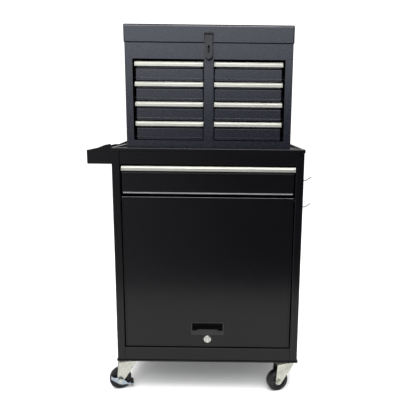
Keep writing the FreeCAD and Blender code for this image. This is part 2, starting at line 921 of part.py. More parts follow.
def drawer_front(x, y, z):
    """Pressed front: a face with shallow returns on all four sides."""
    outer = block(x, (y, y + front_return), z)
    outer = fillet(outer, front_edge_radius, lambda box: box.YMax < y + 1e-3)
    inner_x = (x[0] + sheet, x[1] - sheet)
    inner_z = (z[0] + sheet, z[1] - sheet)
    return cut(outer, block(inner_x, (y + sheet, y + front_return + sheet), inner_z))


def open_tray(x, y, z):
    """Box without a top."""
    inner_x = (x[0] + sheet, x[1] - sheet)
    inner_y = (y[0] + sheet, y[1] - sheet)
    return cut(block(x, y, z), block(inner_x, inner_y, (z[0] + sheet, z[1] + sheet)))


def handle(x, y, z):
    """Extruded pull over the top edge of a front: a seat, a sloping brow and a drop lip."""
    top = z + handle_thickness
    path = [
        (y - handle_standoff, z - handle_drop),
        (y - handle_standoff, top - handle_slope),
        (y - handle_standoff + handle_slope, top),
        (y + handle_seat, top),
    ]
    metal = path[::-1]
    return folded("x", metal, x[0], x[1], handle_thickness, 1.5 * handle_thickness)


def large_drawer_front():
    x = (-large_front_half, large_front_half)
    return drawer_front(x, large_front_y, (large_front_bottom, large_front_top))


def large_drawer_tray():
    x = (-large_tray_half_width, large_tray_half_width)
    y = (large_tray_front, large_tray_front + large_tray_depth)
    return open_tray(x, y, (large_tray_bottom, large_tray_bottom + large_tray_height))


def large_drawer_handle():
    return handle((-large_handle_half, large_handle_half), large_front_y, large_front_top)


def large_drawer_slides():
    """Inner members of the slides, fixed to the sides of the tray."""
    bottom = runner_bottom + sheet + slide_gap
    top = runner_top - sheet - slide_gap
    web = large_tray_half_width
    lip_end = runner_web - sheet - slide_gap
    path = [(lip_end, top), (web, top), (web, bottom), (lip_end, bottom)]
    slide = folded("y", path, slide_start, slide_start + slide_length)
    return group([slide, mirrored(slide)])


# Door

def door_panel():
    """Face with deep returns, cut out for the pull and the lock and bored for the pivots."""
    x = (-door_half, door_half)
    z = (door_bottom, door_top)
    outer = block(x, (door_front, door_back), z)
    outer = fillet(outer, front_edge_radius, lambda box: box.YMax < door_front + 1e-3)
    inner_x = (x[0] + sheet, x[1] - sheet)
    inner_z = (z[0] + sheet, z[1] - sheet)
    hollow = block(inner_x, (door_front + sheet, door_back + sheet), inner_z)
    cup_half = pull_mouth_width / 2 + sheet + hole_clearance
    cup_z = (mouth_bottom - sheet - hole_clearance, mouth_top + sheet + hole_clearance)
    cup_hole = block((-cup_half, cup_half), (door_front - sheet, door_front + 2 * sheet), cup_z)
    lock_hole = rod((0, 0, lock_z), (0, 1, 0), lock_barrel_radius + pin_clearance, door_front + 2 * sheet)
    bore = pivot_radius + pin_clearance
    pivot_holes = rod((-half_width, pivot_y, pivot_z), (1, 0, 0), bore, cabinet_width)
    return cut(outer, hollow, cup_hole, lock_hole, pivot_holes)


def door_pull():
    """Bezel and cup pressed together, with a raised finger lip along the bottom of the mouth."""
    bezel_y = (door_front - pull_plate, door_front)
    half = pull_width / 2
    outline = [(-half, pull_bottom), (half, pull_bottom), (half, pull_top), (-half, pull_top)]
    bezel = prism("y", outline, bezel_y[0], bezel_y[1], [pull_corner] * 4)
    mouth = (-pull_mouth_width / 2, pull_mouth_width / 2)
    cup_back = door_front + pull_cup_depth
    cup_x = (mouth[0] - sheet, mouth[1] + sheet)
    cup = block(cup_x, (door_front, cup_back + sheet), (mouth_bottom - sheet, mouth_top + sheet))
    cavity = block(mouth, (bezel_y[0] - sheet, cup_back), (mouth_bottom, mouth_top))
    lip_x = (-pull_lip_width / 2, pull_lip_width / 2)
    lip_y = (bezel_y[0], bezel_y[0] + pull_lip_thickness)
    lip = block(lip_x, lip_y, (mouth_bottom - sheet / 2, mouth_bottom + pull_lip_height))
    return union(cut(union(bezel, cup), cavity), lip)


def lock_housing():
    """Fixed barrel with its face ring, and the nut that clamps it to the door."""
    face_front = door_front - lock_face
    face = rod((0, face_front, lock_z), (0, 1, 0), lock_face_radius, lock_face)
    face = fillet(face, lock_face_edge, lambda box: box.YMax < face_front + 1e-3)
    barrel = rod((0, door_front, lock_z), (0, 1, 0), lock_barrel_radius, lock_barrel)
    length = lock_face + lock_barrel + 2 * sheet
    bore = rod((0, face_front - sheet, lock_z), (0, 1, 0), lock_plug_radius + pin_clearance, length)
    seat = door_front + sheet
    nut = hexagon("y", (0, lock_z), lock_nut_across, seat, seat + lock_nut)
    nut_bore = rod((0, seat - sheet, lock_z), (0, 1, 0), lock_barrel_radius + pin_clearance, lock_nut + 2 * sheet)
    return group([cut(union(face, barrel), bore), cut(nut, nut_bore)])


def lock_cylinder():
    """Plug with its keyway and the cam on its tail."""
    plug_front = door_front - lock_face + running_gap
    plug = rod((0, plug_front, lock_z), (0, 1, 0), lock_plug_radius, cam_front - plug_front)
    half = cam_width / 2
    outline = [(-half, lock_z - half), (cam_length, lock_z - half), (cam_length, lock_z + half), (-half, lock_z + half)]
    cam = prism("y", outline, cam_front, cam_front + cam_thickness, [half * 0.9] * 4)
    keyway_x = (-keyway_width / 2, keyway_width / 2)
    keyway_z = (lock_z - keyway_height / 2, lock_z + keyway_height / 2)
    keyway = block(keyway_x, (plug_front - sheet, plug_front + keyway_depth), keyway_z)
    return cut(union(plug, cam), keyway)


def door_glides():
    """Nylon blocks in the tracks, each carrying a pin with a head inside the door."""
    solids = []
    y = (pivot_y - glide_length / 2, pivot_y + glide_length / 2)
    z = (pivot_z - glide_height / 2, pivot_z + glide_height / 2)
    glide = block((glide_inner, glide_inner + glide_width), y, z)
    glide = fillet(glide, glide_edge, lambda box: box.XLength > glide_width - 1e-3)
    head_start = door_half - pivot_reach
    pin = rod((head_start, pivot_y, pivot_z), (1, 0, 0), pivot_radius, glide_inner - head_start)
    head = rod((head_start, pivot_y, pivot_z), (1, 0, 0), pivot_head_radius, pivot_head)
    carrier = union(glide, pin, head)
    solids.extend([carrier, mirrored(carrier)])
    return group(solids)


# Chest

def chest_wrap():
    """Front frame, both sides and the rear flanges folded from one sheet, with the drawer window cut out."""
    path = [
        (-chest_half + chest_rear_flange, chest_back),
        (-chest_half, chest_back),
        (-chest_half, chest_front),
        (chest_half, chest_front),
        (chest_half, chest_back),
        (chest_half - chest_rear_flange, chest_back),
    ]
    wrap = folded("z", path, chest_bottom, chest_wall_top)
    window_x = (-chest_opening_half, chest_opening_half)
    window_y = (chest_front - sheet, chest_front + 2 * sheet)
    return cut(wrap, block(window_x, window_y, (opening_bottom, opening_top)))


def chest_back_panel():
    edge = chest_half - bend_radius - bend_clearance
    z = (chest_bottom, chest_wall_top)
    return block((-edge, edge), (chest_back_inner, chest_back_inner + sheet), z)


def chest_pan(z):
    """Pan that fills the chest from side to side, with corners that clear the folds of the wrap."""
    x = (-chest_side_inner, chest_side_inner)
    y = (chest_front + sheet, chest_back_inner)
    outer = rounded_block(x, y, z, bend_radius)
    inner_x = (x[0] + sheet, x[1] - sheet)
    inner_y = (y[0] + sheet, y[1] - sheet)
    return cut(outer, rounded_block(inner_x, inner_y, (z[0] + sheet, z[1] + sheet), bend_radius - sheet))


def chest_base():
    """Floor pan of the chest."""
    return chest_pan((chest_bottom, chest_bottom + chest_base_height))


def chest_till_floor():
    """Floor of the compartment under the lid."""
    return chest_pan((opening_top, opening_top + till_height))


def chest_mullion():
    """Centre post: a channel whose face stands between the drawers and whose webs run to the back."""
    path = [
        (-mullion_half, chest_back_inner),
        (-mullion_half, chest_front),
        (mullion_half, chest_front),
        (mullion_half, chest_back_inner),
    ]
    post = folded("z", path, chest_bottom + sheet, opening_top)
    reach = mullion_half + sheet
    behind_rail = block((-reach, reach), (0, chest_front + 2 * sheet), (0, opening_bottom + seam_gap))
    under_fascia = block((-reach, reach), (0, chest_front + sheet), (opening_top - seam_gap, lid_top))
    base_wall = (chest_back_inner - sheet - seam_gap, chest_back_inner + sheet)
    before_wall = block((-reach, reach), base_wall, (0, chest_bottom + chest_base_height + seam_gap))
    return cut(post, behind_rail, under_fascia, before_wall)


def row_top(row):
    """Top of the handle of a small drawer, counted from the top row."""
    return opening_top - row_head_gap - row * row_pitch


def small_ledges(row):
    """The two angles, right column, that one small drawer slides on."""
    top = row_top(row) - small_drawer_height + small_tray_lift - running_gap
    z = (top - sheet, top)
    upright = (top - sheet, top + ledge_flange)
    guide = (top - sheet, top + ledge_guide)
    outer_guide = small_tray_x[1] + slide_gap
    inner_guide = small_tray_x[0] - slide_gap
    outer = union(
        block((small_tray_x[1] - ledge_overlap, chest_side_inner), ledge_y, z),
        block((chest_side_inner - sheet, chest_side_inner), ledge_y, upright),
        block((outer_guide, outer_guide + sheet), ledge_y, guide),
    )
    inner = union(
        block((mullion_half, small_tray_x[0] + ledge_overlap), ledge_y, z),
        block((mullion_half, mullion_half + sheet), ledge_y, upright),
        block((inner_guide - sheet, inner_guide), ledge_y, guide),
    )
    return [outer, inner]


def chest_runners():
    solids = []
    for row in range(drawer_rows):
        for ledge in small_ledges(row):
            solids.extend([ledge, mirrored(ledge)])
    return group(solids)


def small_drawer(row):
    """Front and tray of a small drawer of the right column."""
    top = row_top(row) - handle_thickness
    bottom = row_top(row) - small_drawer_height
    front = drawer_front(small_front_x, small_front_y, (bottom, top))
    tray_bottom = bottom + small_tray_lift
    tray = open_tray(small_tray_x, small_tray_y, (tray_bottom, tray_bottom + small_tray_height))
    return union(front, tray)


def small_handle(row):
    return handle(small_handle_x, small_front_y, row_top(row) - handle_thickness)


# Lid, hinge and hasp

def lid_shell():
    def shell(inset, low):
        x = (-lid_half + inset, lid_half - inset)
        y = (lid_front + inset, lid_back - inset)
        shape = block(x, y, (low, lid_top - inset))
        return fillet(shape, lid_corner - inset, lambda box: box.ZMax > lid_top - inset - 1e-3)
    return cut(shell(0, lid_bottom), shell(sheet, lid_bottom - sheet))


def knuckle_spans():
    """Start and end of each knuckle along the hinge."""
    pitch = hinge_length / hinge_knuckles
    start = -hinge_length / 2
    gap = knuckle_gap / 2
    return [(start + i * pitch + gap, start + (i + 1) * pitch - gap) for i in range(hinge_knuckles)]


def knuckles(spans):
    bore = rod((-hinge_length, hinge_y, hinge_z), (1, 0, 0), hinge_pin_radius + pin_clearance, 2 * hinge_length)
    barrels = [rod((a, hinge_y, hinge_z), (1, 0, 0), knuckle_radius, b - a) for a, b in spans]
    return barrels, bore


def lid_hinge_lower_leaf():
    """Leaf riveted to the back of the chest, with every other knuckle and the pin."""
    spans = knuckle_spans()
    barrels, bore = knuckles(spans[0::2])
    step_z = hinge_z - hinge_step
    outer = hinge_y + sheet / 2
    path = [
        (chest_back, step_z - hinge_leaf),
        (chest_back, step_z),
        (outer, step_z),
        (outer, hinge_z - knuckle_radius / 2),
    ]
    leaf = folded("x", path, -hinge_length / 2, hinge_length / 2, bend=1.2 * sheet)
    notch_y = (chest_back + sheet, outer + knuckle_radius * 2)
    notch_z = (hinge_z - knuckle_radius - 2 * knuckle_gap, hinge_z + knuckle_radius)
    notches = [block((a - knuckle_gap, b + knuckle_gap), notch_y, notch_z) for a, b in spans[1::2]]
    lower = cut(union(cut(leaf, *notches), *barrels), bore)
    pin = rod((-hinge_length / 2, hinge_y, hinge_z), (1, 0, 0), hinge_pin_radius, hinge_length)
    return group([lower, pin])


def lid_hinge_upper_leaf():
    """Leaf riveted to the back of the lid, with the knuckles in between."""
    spans = knuckle_spans()
    barrels, bore = knuckles(spans[1::2])
    x = (-hinge_length / 2, hinge_length / 2)
    leaf = block(x, (lid_back, lid_back + sheet), (hinge_z, hinge_z + hinge_leaf))
    notch_y = (lid_back - sheet, lid_back + 2 * sheet)
    notch_z = (hinge_z - sheet, hinge_z + knuckle_radius + knuckle_gap)
    notches = [block((a - knuckle_gap, b + knuckle_gap), notch_y, notch_z) for a, b in spans[0::2]]
    return cut(union(cut(leaf, *notches), *barrels), bore)


def hasp_bracket():
    """Plate on the lid with two knuckles, and the pin through them."""
    half = bracket_width / 2
    plate = block((-half, half), (lid_front - hasp_plate, lid_front), (bracket_top - bracket_height, bracket_top))
    gap = hasp_knuckle_width / 2 + knuckle_gap
    axis = (hasp_axis_y, hasp_axis_z)
    barrels = [rod((x, axis[0], axis[1]), (1, 0, 0), hasp_knuckle_radius, half - gap) for x in (-half, gap)]
    bore = rod((-half - sheet, axis[0], axis[1]), (1, 0, 0), hinge_pin_radius + pin_clearance, bracket_width + 2 * sheet)
    pin = rod((-half, axis[0], axis[1]), (1, 0, 0), hinge_pin_radius, bracket_width)
    relief = rod((-gap, axis[0], axis[1]), (1, 0, 0), hasp_knuckle_radius + running_gap, 2 * gap)
    return group([cut(union(plate, *barrels), bore, relief), pin])


def hasp_strap():
    """Strap with a slot and a pointed end, drawn closed and then swung out to where it rests."""
    half = strap_width / 2
    knuckle_half = hasp_knuckle_width / 2
    shoulder = hasp_axis_z - hasp_knuckle_radius - 2 * running_gap
    foot = hasp_axis_z - strap_length
    outline = [
        (-knuckle_half, hasp_axis_z),
        (-knuckle_half, shoulder),
        (-half, shoulder),
        (-half, foot + strap_point),
        (-half + strap_point, foot),
        (half - strap_point, foot),
        (half, foot + strap_point),
        (half, shoulder),
        (knuckle_half, shoulder),
        (knuckle_half, hasp_axis_z),
    ]
    plate = prism("y", outline, strap_front, strap_back)
    barrel = rod((-knuckle_half, hasp_axis_y, hasp_axis_z), (1, 0, 0), hasp_knuckle_radius, hasp_knuckle_width)
    slot_z = (hasp_axis_z - slot_drop - slot_length, hasp_axis_z - slot_drop)
    slot_outline = [(-slot_width / 2, slot_z[0]), (slot_width / 2, slot_z[0]),
                    (slot_width / 2, slot_z[1]), (-slot_width / 2, slot_z[1])]
    slot = prism("y", slot_outline, strap_front - sheet, strap_back + sheet, [slot_width * 0.45] * 4)
    bore = rod((-half, hasp_axis_y, hasp_axis_z), (1, 0, 0), hinge_pin_radius + pin_clearance, strap_width)
    strap = cut(union(plate, barrel), slot, bore)
    strap.rotate(vec(0, hasp_axis_y, hasp_axis_z), vec(-1, 0, 0), strap_rest_angle)
    return strap


def hasp_staple():
    """Ear with a padlock eye on a small plate, riveted to the front of the chest."""
    ear_top = hasp_axis_z - slot_drop - (slot_length - ear_height) / 2
    ear_bottom = ear_top - ear_height
    plate_back = chest_front
    plate_front = chest_front - hasp_plate
    tip = chest_front - ear_reach
    outline = [
        (plate_back, ear_bottom),
        (plate_back, ear_top),
        (tip + ear_reach * 0.5, ear_top),
        (tip, ear_top - ear_height * 0.55),
        (tip, ear_bottom + ear_edge),
        (tip + ear_edge, ear_bottom),
    ]
    ear = prism("x", outline, -ear_thickness / 2, ear_thickness / 2)
    eye_y = strap_front - ear_eye_radius - running_gap
    eye = rod((-ear_thickness, eye_y, ear_bottom + ear_height * 0.36), (1, 0, 0), ear_eye_radius, 2 * ear_thickness)
    half = staple_width / 2
    plate = block((-half, half), (plate_front, plate_back), (ear_bottom - staple_margin, ear_top + staple_margin))
    return cut(union(plate, ear), eye)


def build_nodes():
    """Every node of the cabinet by name, in the frame it is drawn in."""
    nodes = {
        "cabinet_left_side": cabinet_left_side(),
        "cabinet_right_side": cabinet_right_side(),
        "cabinet_back": cabinet_back(),
        "cabinet_top": cabinet_top(),
        "cabinet_base": cabinet_base(),
        "front_top_rail": front_top_rail(),
        "front_bottom_rail": front_bottom_rail(),
        "large_drawer_runners": large_drawer_runners(),
        "door_tracks": door_tracks(),
        "side_tray": side_tray(),
        "side_hooks": side_hooks(),
        "cabinet_fasteners": cabinet_fasteners(),
        "caster_plates": caster_plates(),
        "large_drawer_front": large_drawer_front(),
        "large_drawer_tray": large_drawer_tray(),
        "large_drawer_handle": large_drawer_handle(),
        "large_drawer_slides": large_drawer_slides(),
        "door_panel": door_panel(),
        "door_pull": door_pull(),
        "lock_housing": lock_housing(),
        "lock_cylinder": lock_cylinder(),
        "door_glides": door_glides(),
        "chest_wrap": chest_wrap(),
        "chest_back_panel": chest_back_panel(),
        "chest_base": chest_base(),
        "chest_till_floor": chest_till_floor(),
        "chest_mullion": chest_mullion(),
        "chest_runners": chest_runners(),
        "lid_hinge_lower_leaf": lid_hinge_lower_leaf(),
        "hasp_staple": hasp_staple(),
        "lid_shell": lid_shell(),
        "lid_hinge_upper_leaf": lid_hinge_upper_leaf(),
        "hasp_bracket": hasp_bracket(),
        "hasp_strap": hasp_strap(),
    }
    for row in range(drawer_rows):
        drawer = small_drawer(row)
        pull = small_handle(row)
        nodes[f"drawer_right_{row + 1}"] = drawer
        nodes[f"drawer_left_{row + 1}"] = mirrored(drawer)
        nodes[f"handle_right_{row + 1}"] = pull
        nodes[f"handle_left_{row + 1}"] = mirrored(pull)
    for name, (x, y, turn, brake) in casters.items():
        nodes[f"caster_fork_{name}"] = placed_caster(caster_fork(brake), name)
        nodes[f"caster_wheel_{name}"] = placed_caster(caster_wheel(), name)
        if brake:
            nodes[f"brake_lever_{name}"] = placed_caster(brake_lever(), name)
    return nodes


def origin_shift(nodes):
    """Move that puts the origin at the bottom centre of the whole cabinet."""
    box = Part.makeCompound(list(nodes.values())).optimalBoundingBox(False)
    return vec(-(box.XMin + box.XMax) / 2, -(box.YMin + box.YMax) / 2, -box.ZMin)


def main():
    os.makedirs("parts", exist_ok=True)
    nodes = build_nodes()
    shift = origin_shift(nodes)
    for name, shape in nodes.items():
        shape.translate(shift)
        shape.exportStep(f"parts/{name}.step")


if __name__ == "__main__":
    main()
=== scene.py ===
"""Looks of a rolling tool cabinet: paints, metals, casters, pulls, hasp, hooks, floor, light and camera."""

import json
import logging
import math
from contextlib import contextmanager
from dataclasses import dataclass
from enum import Enum
from typing import Callable, Iterator, Optional, Sequence

import bmesh
import bpy
from mathutils import Matrix, Vector

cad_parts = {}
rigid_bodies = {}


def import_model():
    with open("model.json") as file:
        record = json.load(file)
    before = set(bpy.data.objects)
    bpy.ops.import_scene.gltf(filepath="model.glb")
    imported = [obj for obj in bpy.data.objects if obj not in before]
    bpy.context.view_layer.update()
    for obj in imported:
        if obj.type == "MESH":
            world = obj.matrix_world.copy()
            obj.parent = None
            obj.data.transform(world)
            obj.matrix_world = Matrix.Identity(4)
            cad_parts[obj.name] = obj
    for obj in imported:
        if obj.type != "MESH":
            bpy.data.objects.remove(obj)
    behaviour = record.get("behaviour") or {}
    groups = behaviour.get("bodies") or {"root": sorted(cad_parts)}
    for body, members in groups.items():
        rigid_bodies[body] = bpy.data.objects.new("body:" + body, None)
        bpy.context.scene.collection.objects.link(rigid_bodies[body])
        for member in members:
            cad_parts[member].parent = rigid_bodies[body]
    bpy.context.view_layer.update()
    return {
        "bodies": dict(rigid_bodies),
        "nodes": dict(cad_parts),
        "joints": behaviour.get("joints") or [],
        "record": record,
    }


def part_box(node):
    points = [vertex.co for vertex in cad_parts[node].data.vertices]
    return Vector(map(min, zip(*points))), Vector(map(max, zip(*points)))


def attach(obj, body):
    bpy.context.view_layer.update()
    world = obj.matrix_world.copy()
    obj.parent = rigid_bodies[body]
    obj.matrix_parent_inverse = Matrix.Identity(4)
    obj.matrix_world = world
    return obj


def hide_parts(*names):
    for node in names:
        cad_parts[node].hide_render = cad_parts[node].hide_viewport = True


LOG = logging.getLogger("tool_cabinet")
MM = 0.001
Point = tuple[float, float, float]
Flat = tuple[float, float]
Test = Callable[[Vector, Vector], bool]
UNIT: Flat = (0.0, 1.0)
# Places this close in metres are one place, and those within NEAR of an end belong to it
SAME = 1e-6
NEAR = 1e-5
# Share of a unit vector that counts as along a direction
ALONG = 0.9


class Axis(Enum):
    """The world's directions."""

    X = (1.0, 0.0, 0.0)
    Y = (0.0, 1.0, 0.0)
    Z = (0.0, 0.0, 1.0)


class Graph:
    """A node tree under construction."""

    def __init__(self, tree: bpy.types.NodeTree) -> None:
        """Take a tree in hand."""
        self.tree = tree

    def feed(self, socket: bpy.types.NodeSocket, value: object) -> None:
        """Link an input to another socket, or set its value.

        Args:
            socket: the input.
            value: the socket that feeds it, or its value.
        """
        if isinstance(value, bpy.types.NodeSocket):
            self.tree.links.new(value, socket)
        else:
            socket.default_value = value

    def node(self, kind: str, feeds: Optional[dict[str, object]] = None,
             **settings: object) -> bpy.types.Node:
        """Add a node.

        Args:
            kind: the node's type name.
            feeds: inputs by name, each with a value or a socket.
            settings: properties, which are set first.

        Returns:
            The new node.
        """
        made = self.tree.nodes.new(kind)
        for key, value in settings.items():
            setattr(made, key, value)
        for key, value in (feeds or {}).items():
            self.feed(made.inputs[key], value)
        return made

    def ramp(self, source: bpy.types.NodeSocket, start: Flat, end: Flat,
             **settings: object) -> bpy.types.NodeSocket:
        """Map one range of a value to another.

        Args:
            source: the value.
            start: the range it comes in.
            end: the range it leaves in.
            settings: the node's other properties.

        Returns:
            The mapped value.
        """
        feeds = {"Value": source, "From Min": start[0], "From Max": start[1],
                 "To Min": end[0], "To Max": end[1]}
        return self.node("ShaderNodeMapRange", feeds, **settings).outputs["Result"]


class ShaderGroup(Graph):
    """A node group that takes a place and numbers, built once and used by every finish that needs it."""

    def __init__(self, name: str, numbers: dict[str, float]) -> None:
        """Start a group.

        Args:
            name: the group's name in the file.
            numbers: the inputs that a finish can set, with their defaults.
        """
        super().__init__(bpy.data.node_groups.new(name, "ShaderNodeTree"))
        self.start = self.node("NodeGroupInput")
        self.end = self.node("NodeGroupOutput")
        self.tree.interface.new_socket("Place", in_out="INPUT", socket_type="NodeSocketVector")
        for key, default in numbers.items():
            socket = self.tree.interface.new_socket(key, in_out="INPUT", socket_type="NodeSocketFloat")
            socket.default_value = default

    def noise(self, scale: str, **inputs: float) -> bpy.types.NodeSocket:
        """Noise at the group's place."""
        feeds = {"Vector": self.start.outputs["Place"], "Scale": self.start.outputs[scale], **inputs}
        return self.node("ShaderNodeTexNoise", feeds).outputs["Fac"]

    def give(self, **results: bpy.types.NodeSocket) -> bpy.types.NodeTree:
        """Close the group.

        Args:
            results: its outputs by name.

        Returns:
            The group's tree.
        """
        for key, socket in results.items():
            self.tree.interface.new_socket(key, in_out="OUTPUT", socket_type="NodeSocketFloat")
            self.feed(self.end.inputs[key], socket)
        return self.tree


def grain_group() -> bpy.types.NodeTree:
    """Fine powder-coat grain over a slow orange peel.

    Returns:
        The group, with outputs Height and Blotch.
    """
    group = ShaderGroup("powder_grain", {"Fine Scale": 900.0, "Slow Scale": 60.0, "Fine Share": 0.6})
    fine = group.noise("Fine Scale", Detail=2.0)
    slow = group.noise("Slow Scale", Detail=3.0)
    feeds = {"Factor": group.start.outputs["Fine Share"], "A": slow, "B": fine}
    height = group.node("ShaderNodeMix", feeds, data_type="FLOAT").outputs["Result"]
    return group.give(Height=height, Blotch=slow)


def streak_group() -> bpy.types.NodeTree:
    """Fine lines left by brushing or drawing metal along one direction.

    Returns:
        The group, with outputs Height and Tone.
    """
    group = ShaderGroup("drawn_lines", {"Scale": 300.0})
    lines = group.noise("Scale", Detail=4.0, Roughness=0.7)
    return group.give(Height=lines, Tone=group.ramp(lines, (0.3, 0.7), UNIT))


def dust_group() -> bpy.types.NodeTree:
    """Thin uneven film of dust and handling marks.

    Returns:
        The group, with output Mask.
    """
    group = ShaderGroup("handling_film", {"Scale": 9.0, "Amount": 0.3})
    cloud = group.noise("Scale", Detail=6.0, Distortion=0.6)
    mask = group.node("ShaderNodeMath", operation="MULTIPLY")
    group.feed(mask.inputs[0], group.ramp(cloud, (0.42, 0.78), UNIT))
    group.feed(mask.inputs[1], group.start.outputs["Amount"])
    return group.give(Mask=mask.outputs["Value"])


GROUPS: dict[str, Callable[[], bpy.types.NodeTree]] = {
    "powder_grain": grain_group,
    "drawn_lines": streak_group,
    "handling_film": dust_group,
}


class Shader(Graph):
    """A material under construction, with one Principled shader."""

    def __init__(self, name: str) -> None:
        """Start a material.

        Args:
            name: the material's name.
        """
        self.material = bpy.data.materials.new(name)
        self.material.use_nodes = True
        super().__init__(self.material.node_tree)
        self.surface = self.tree.nodes["Principled BSDF"]
        self.place = self.node("ShaderNodeTexCoord").outputs["Object"]

    def set(self, **values: object) -> None:
        """Set or feed the Principled shader's own sockets."""
        for key, value in values.items():
            self.feed(self.surface.inputs[key.replace("_", " ")], value)

    def group(self, key: str, place: Optional[bpy.types.NodeSocket] = None,
              **values: float) -> bpy.types.Node:
        """Place a shared group, which is built when it is first asked for.

        Args:
            key: the group's name.
            place: coordinates for it, the object's own unless given.
            values: its inputs, with underscores for spaces.

        Returns:
            The group node.
        """
        tree = bpy.data.node_groups.get(key) or GROUPS[key]()
        feeds = {name.replace("_", " "): value for name, value in values.items()}
        return self.node("ShaderNodeGroup", {"Place": place or self.place, **feeds}, node_tree=tree)

    def colours(self, source: bpy.types.NodeSocket, first: Point, second: Point) -> None:
        """Base colour that runs between two colours."""
        feeds = {"Factor": source, "A": (*first, 1.0), "B": (*second, 1.0)}
        self.set(Base_Color=self.node("ShaderNodeMix", feeds, data_type="RGBA").outputs["Result"])

    def bump(self, height: bpy.types.NodeSocket, strength: float, distance: float) -> None:
        """Bump from a height."""
        feeds = {"Height": height, "Strength": strength, "Distance": distance}
        self.set(Normal=self.node("ShaderNodeBump", feeds).outputs["Normal"])


@dataclass(frozen=True)
class Paint:
    """Coated sheet steel: colour, gloss, grain and a thin film of dust."""

    name: str
    colour: Point
    film_colour: Point
    roughness: Flat
    sheen: float = 0.5
    gloss_tint: tuple[float, float, float, float] = (1.0, 1.0, 1.0, 1.0)
    grain_depth: float = 0.00005
    grain_strength: float = 0.3
    fine_scale: float = 900.0
    slow_scale: float = 60.0
    fine_share: float = 0.6
    film: float = 0.3
    film_scale: float = 9.0

    def build(self) -> bpy.types.Material:
        """Make the material.

        Returns:
            The material.
        """
        shader = Shader(self.name)
        scales = {"Fine_Scale": self.fine_scale, "Slow_Scale": self.slow_scale, "Fine_Share": self.fine_share}
        grain = shader.group("powder_grain", **scales)
        film = shader.group("handling_film", Scale=self.film_scale, Amount=self.film)
        shader.colours(film.outputs["Mask"], self.colour, self.film_colour)
        shader.set(Roughness=shader.ramp(grain.outputs["Blotch"], UNIT, self.roughness))
        shader.set(Specular_IOR_Level=self.sheen, Specular_Tint=self.gloss_tint)
        shader.bump(grain.outputs["Height"], self.grain_strength, self.grain_depth)
        return shader.material


@dataclass(frozen=True)
class Moulding(Paint):
    """Moulded plastic or rubber: finer grain and more handling marks."""

    grain_depth: float = 0.00008
    fine_scale: float = 1400.0
    slow_scale: float = 120.0
    fine_share: float = 0.7
    film: float = 0.7
    film_scale: float = 30.0


@dataclass(frozen=True)
class DrawnMetal:
    """Bare or plated metal with lines from drawing or brushing."""

    name: str
    colour: Point
    second_colour: Point
    roughness: Flat
    stretch: Point = (0.02, 1.0, 1.0)
    scale: float = 500.0
    depth: float = 0.00003
    strength: float = 0.25
    film: float = 0.8
    film_scale: float = 25.0

    def build(self) -> bpy.types.Material:
        """Make the material.

        Returns:
            The material.
        """
        shader = Shader(self.name)
        feeds = {"Vector": shader.place, "Scale": self.stretch}
        place = shader.node("ShaderNodeMapping", feeds).outputs["Vector"]
        lines = shader.group("drawn_lines", place, Scale=self.scale)
        film = shader.group("handling_film", Scale=self.film_scale, Amount=self.film)
        shader.colours(film.outputs["Mask"], self.colour, self.second_colour)
        shader.set(Metallic=1.0, Roughness=shader.ramp(lines.outputs["Tone"], UNIT, self.roughness))
        shader.bump(lines.outputs["Height"], self.strength, self.depth)
        return shader.material


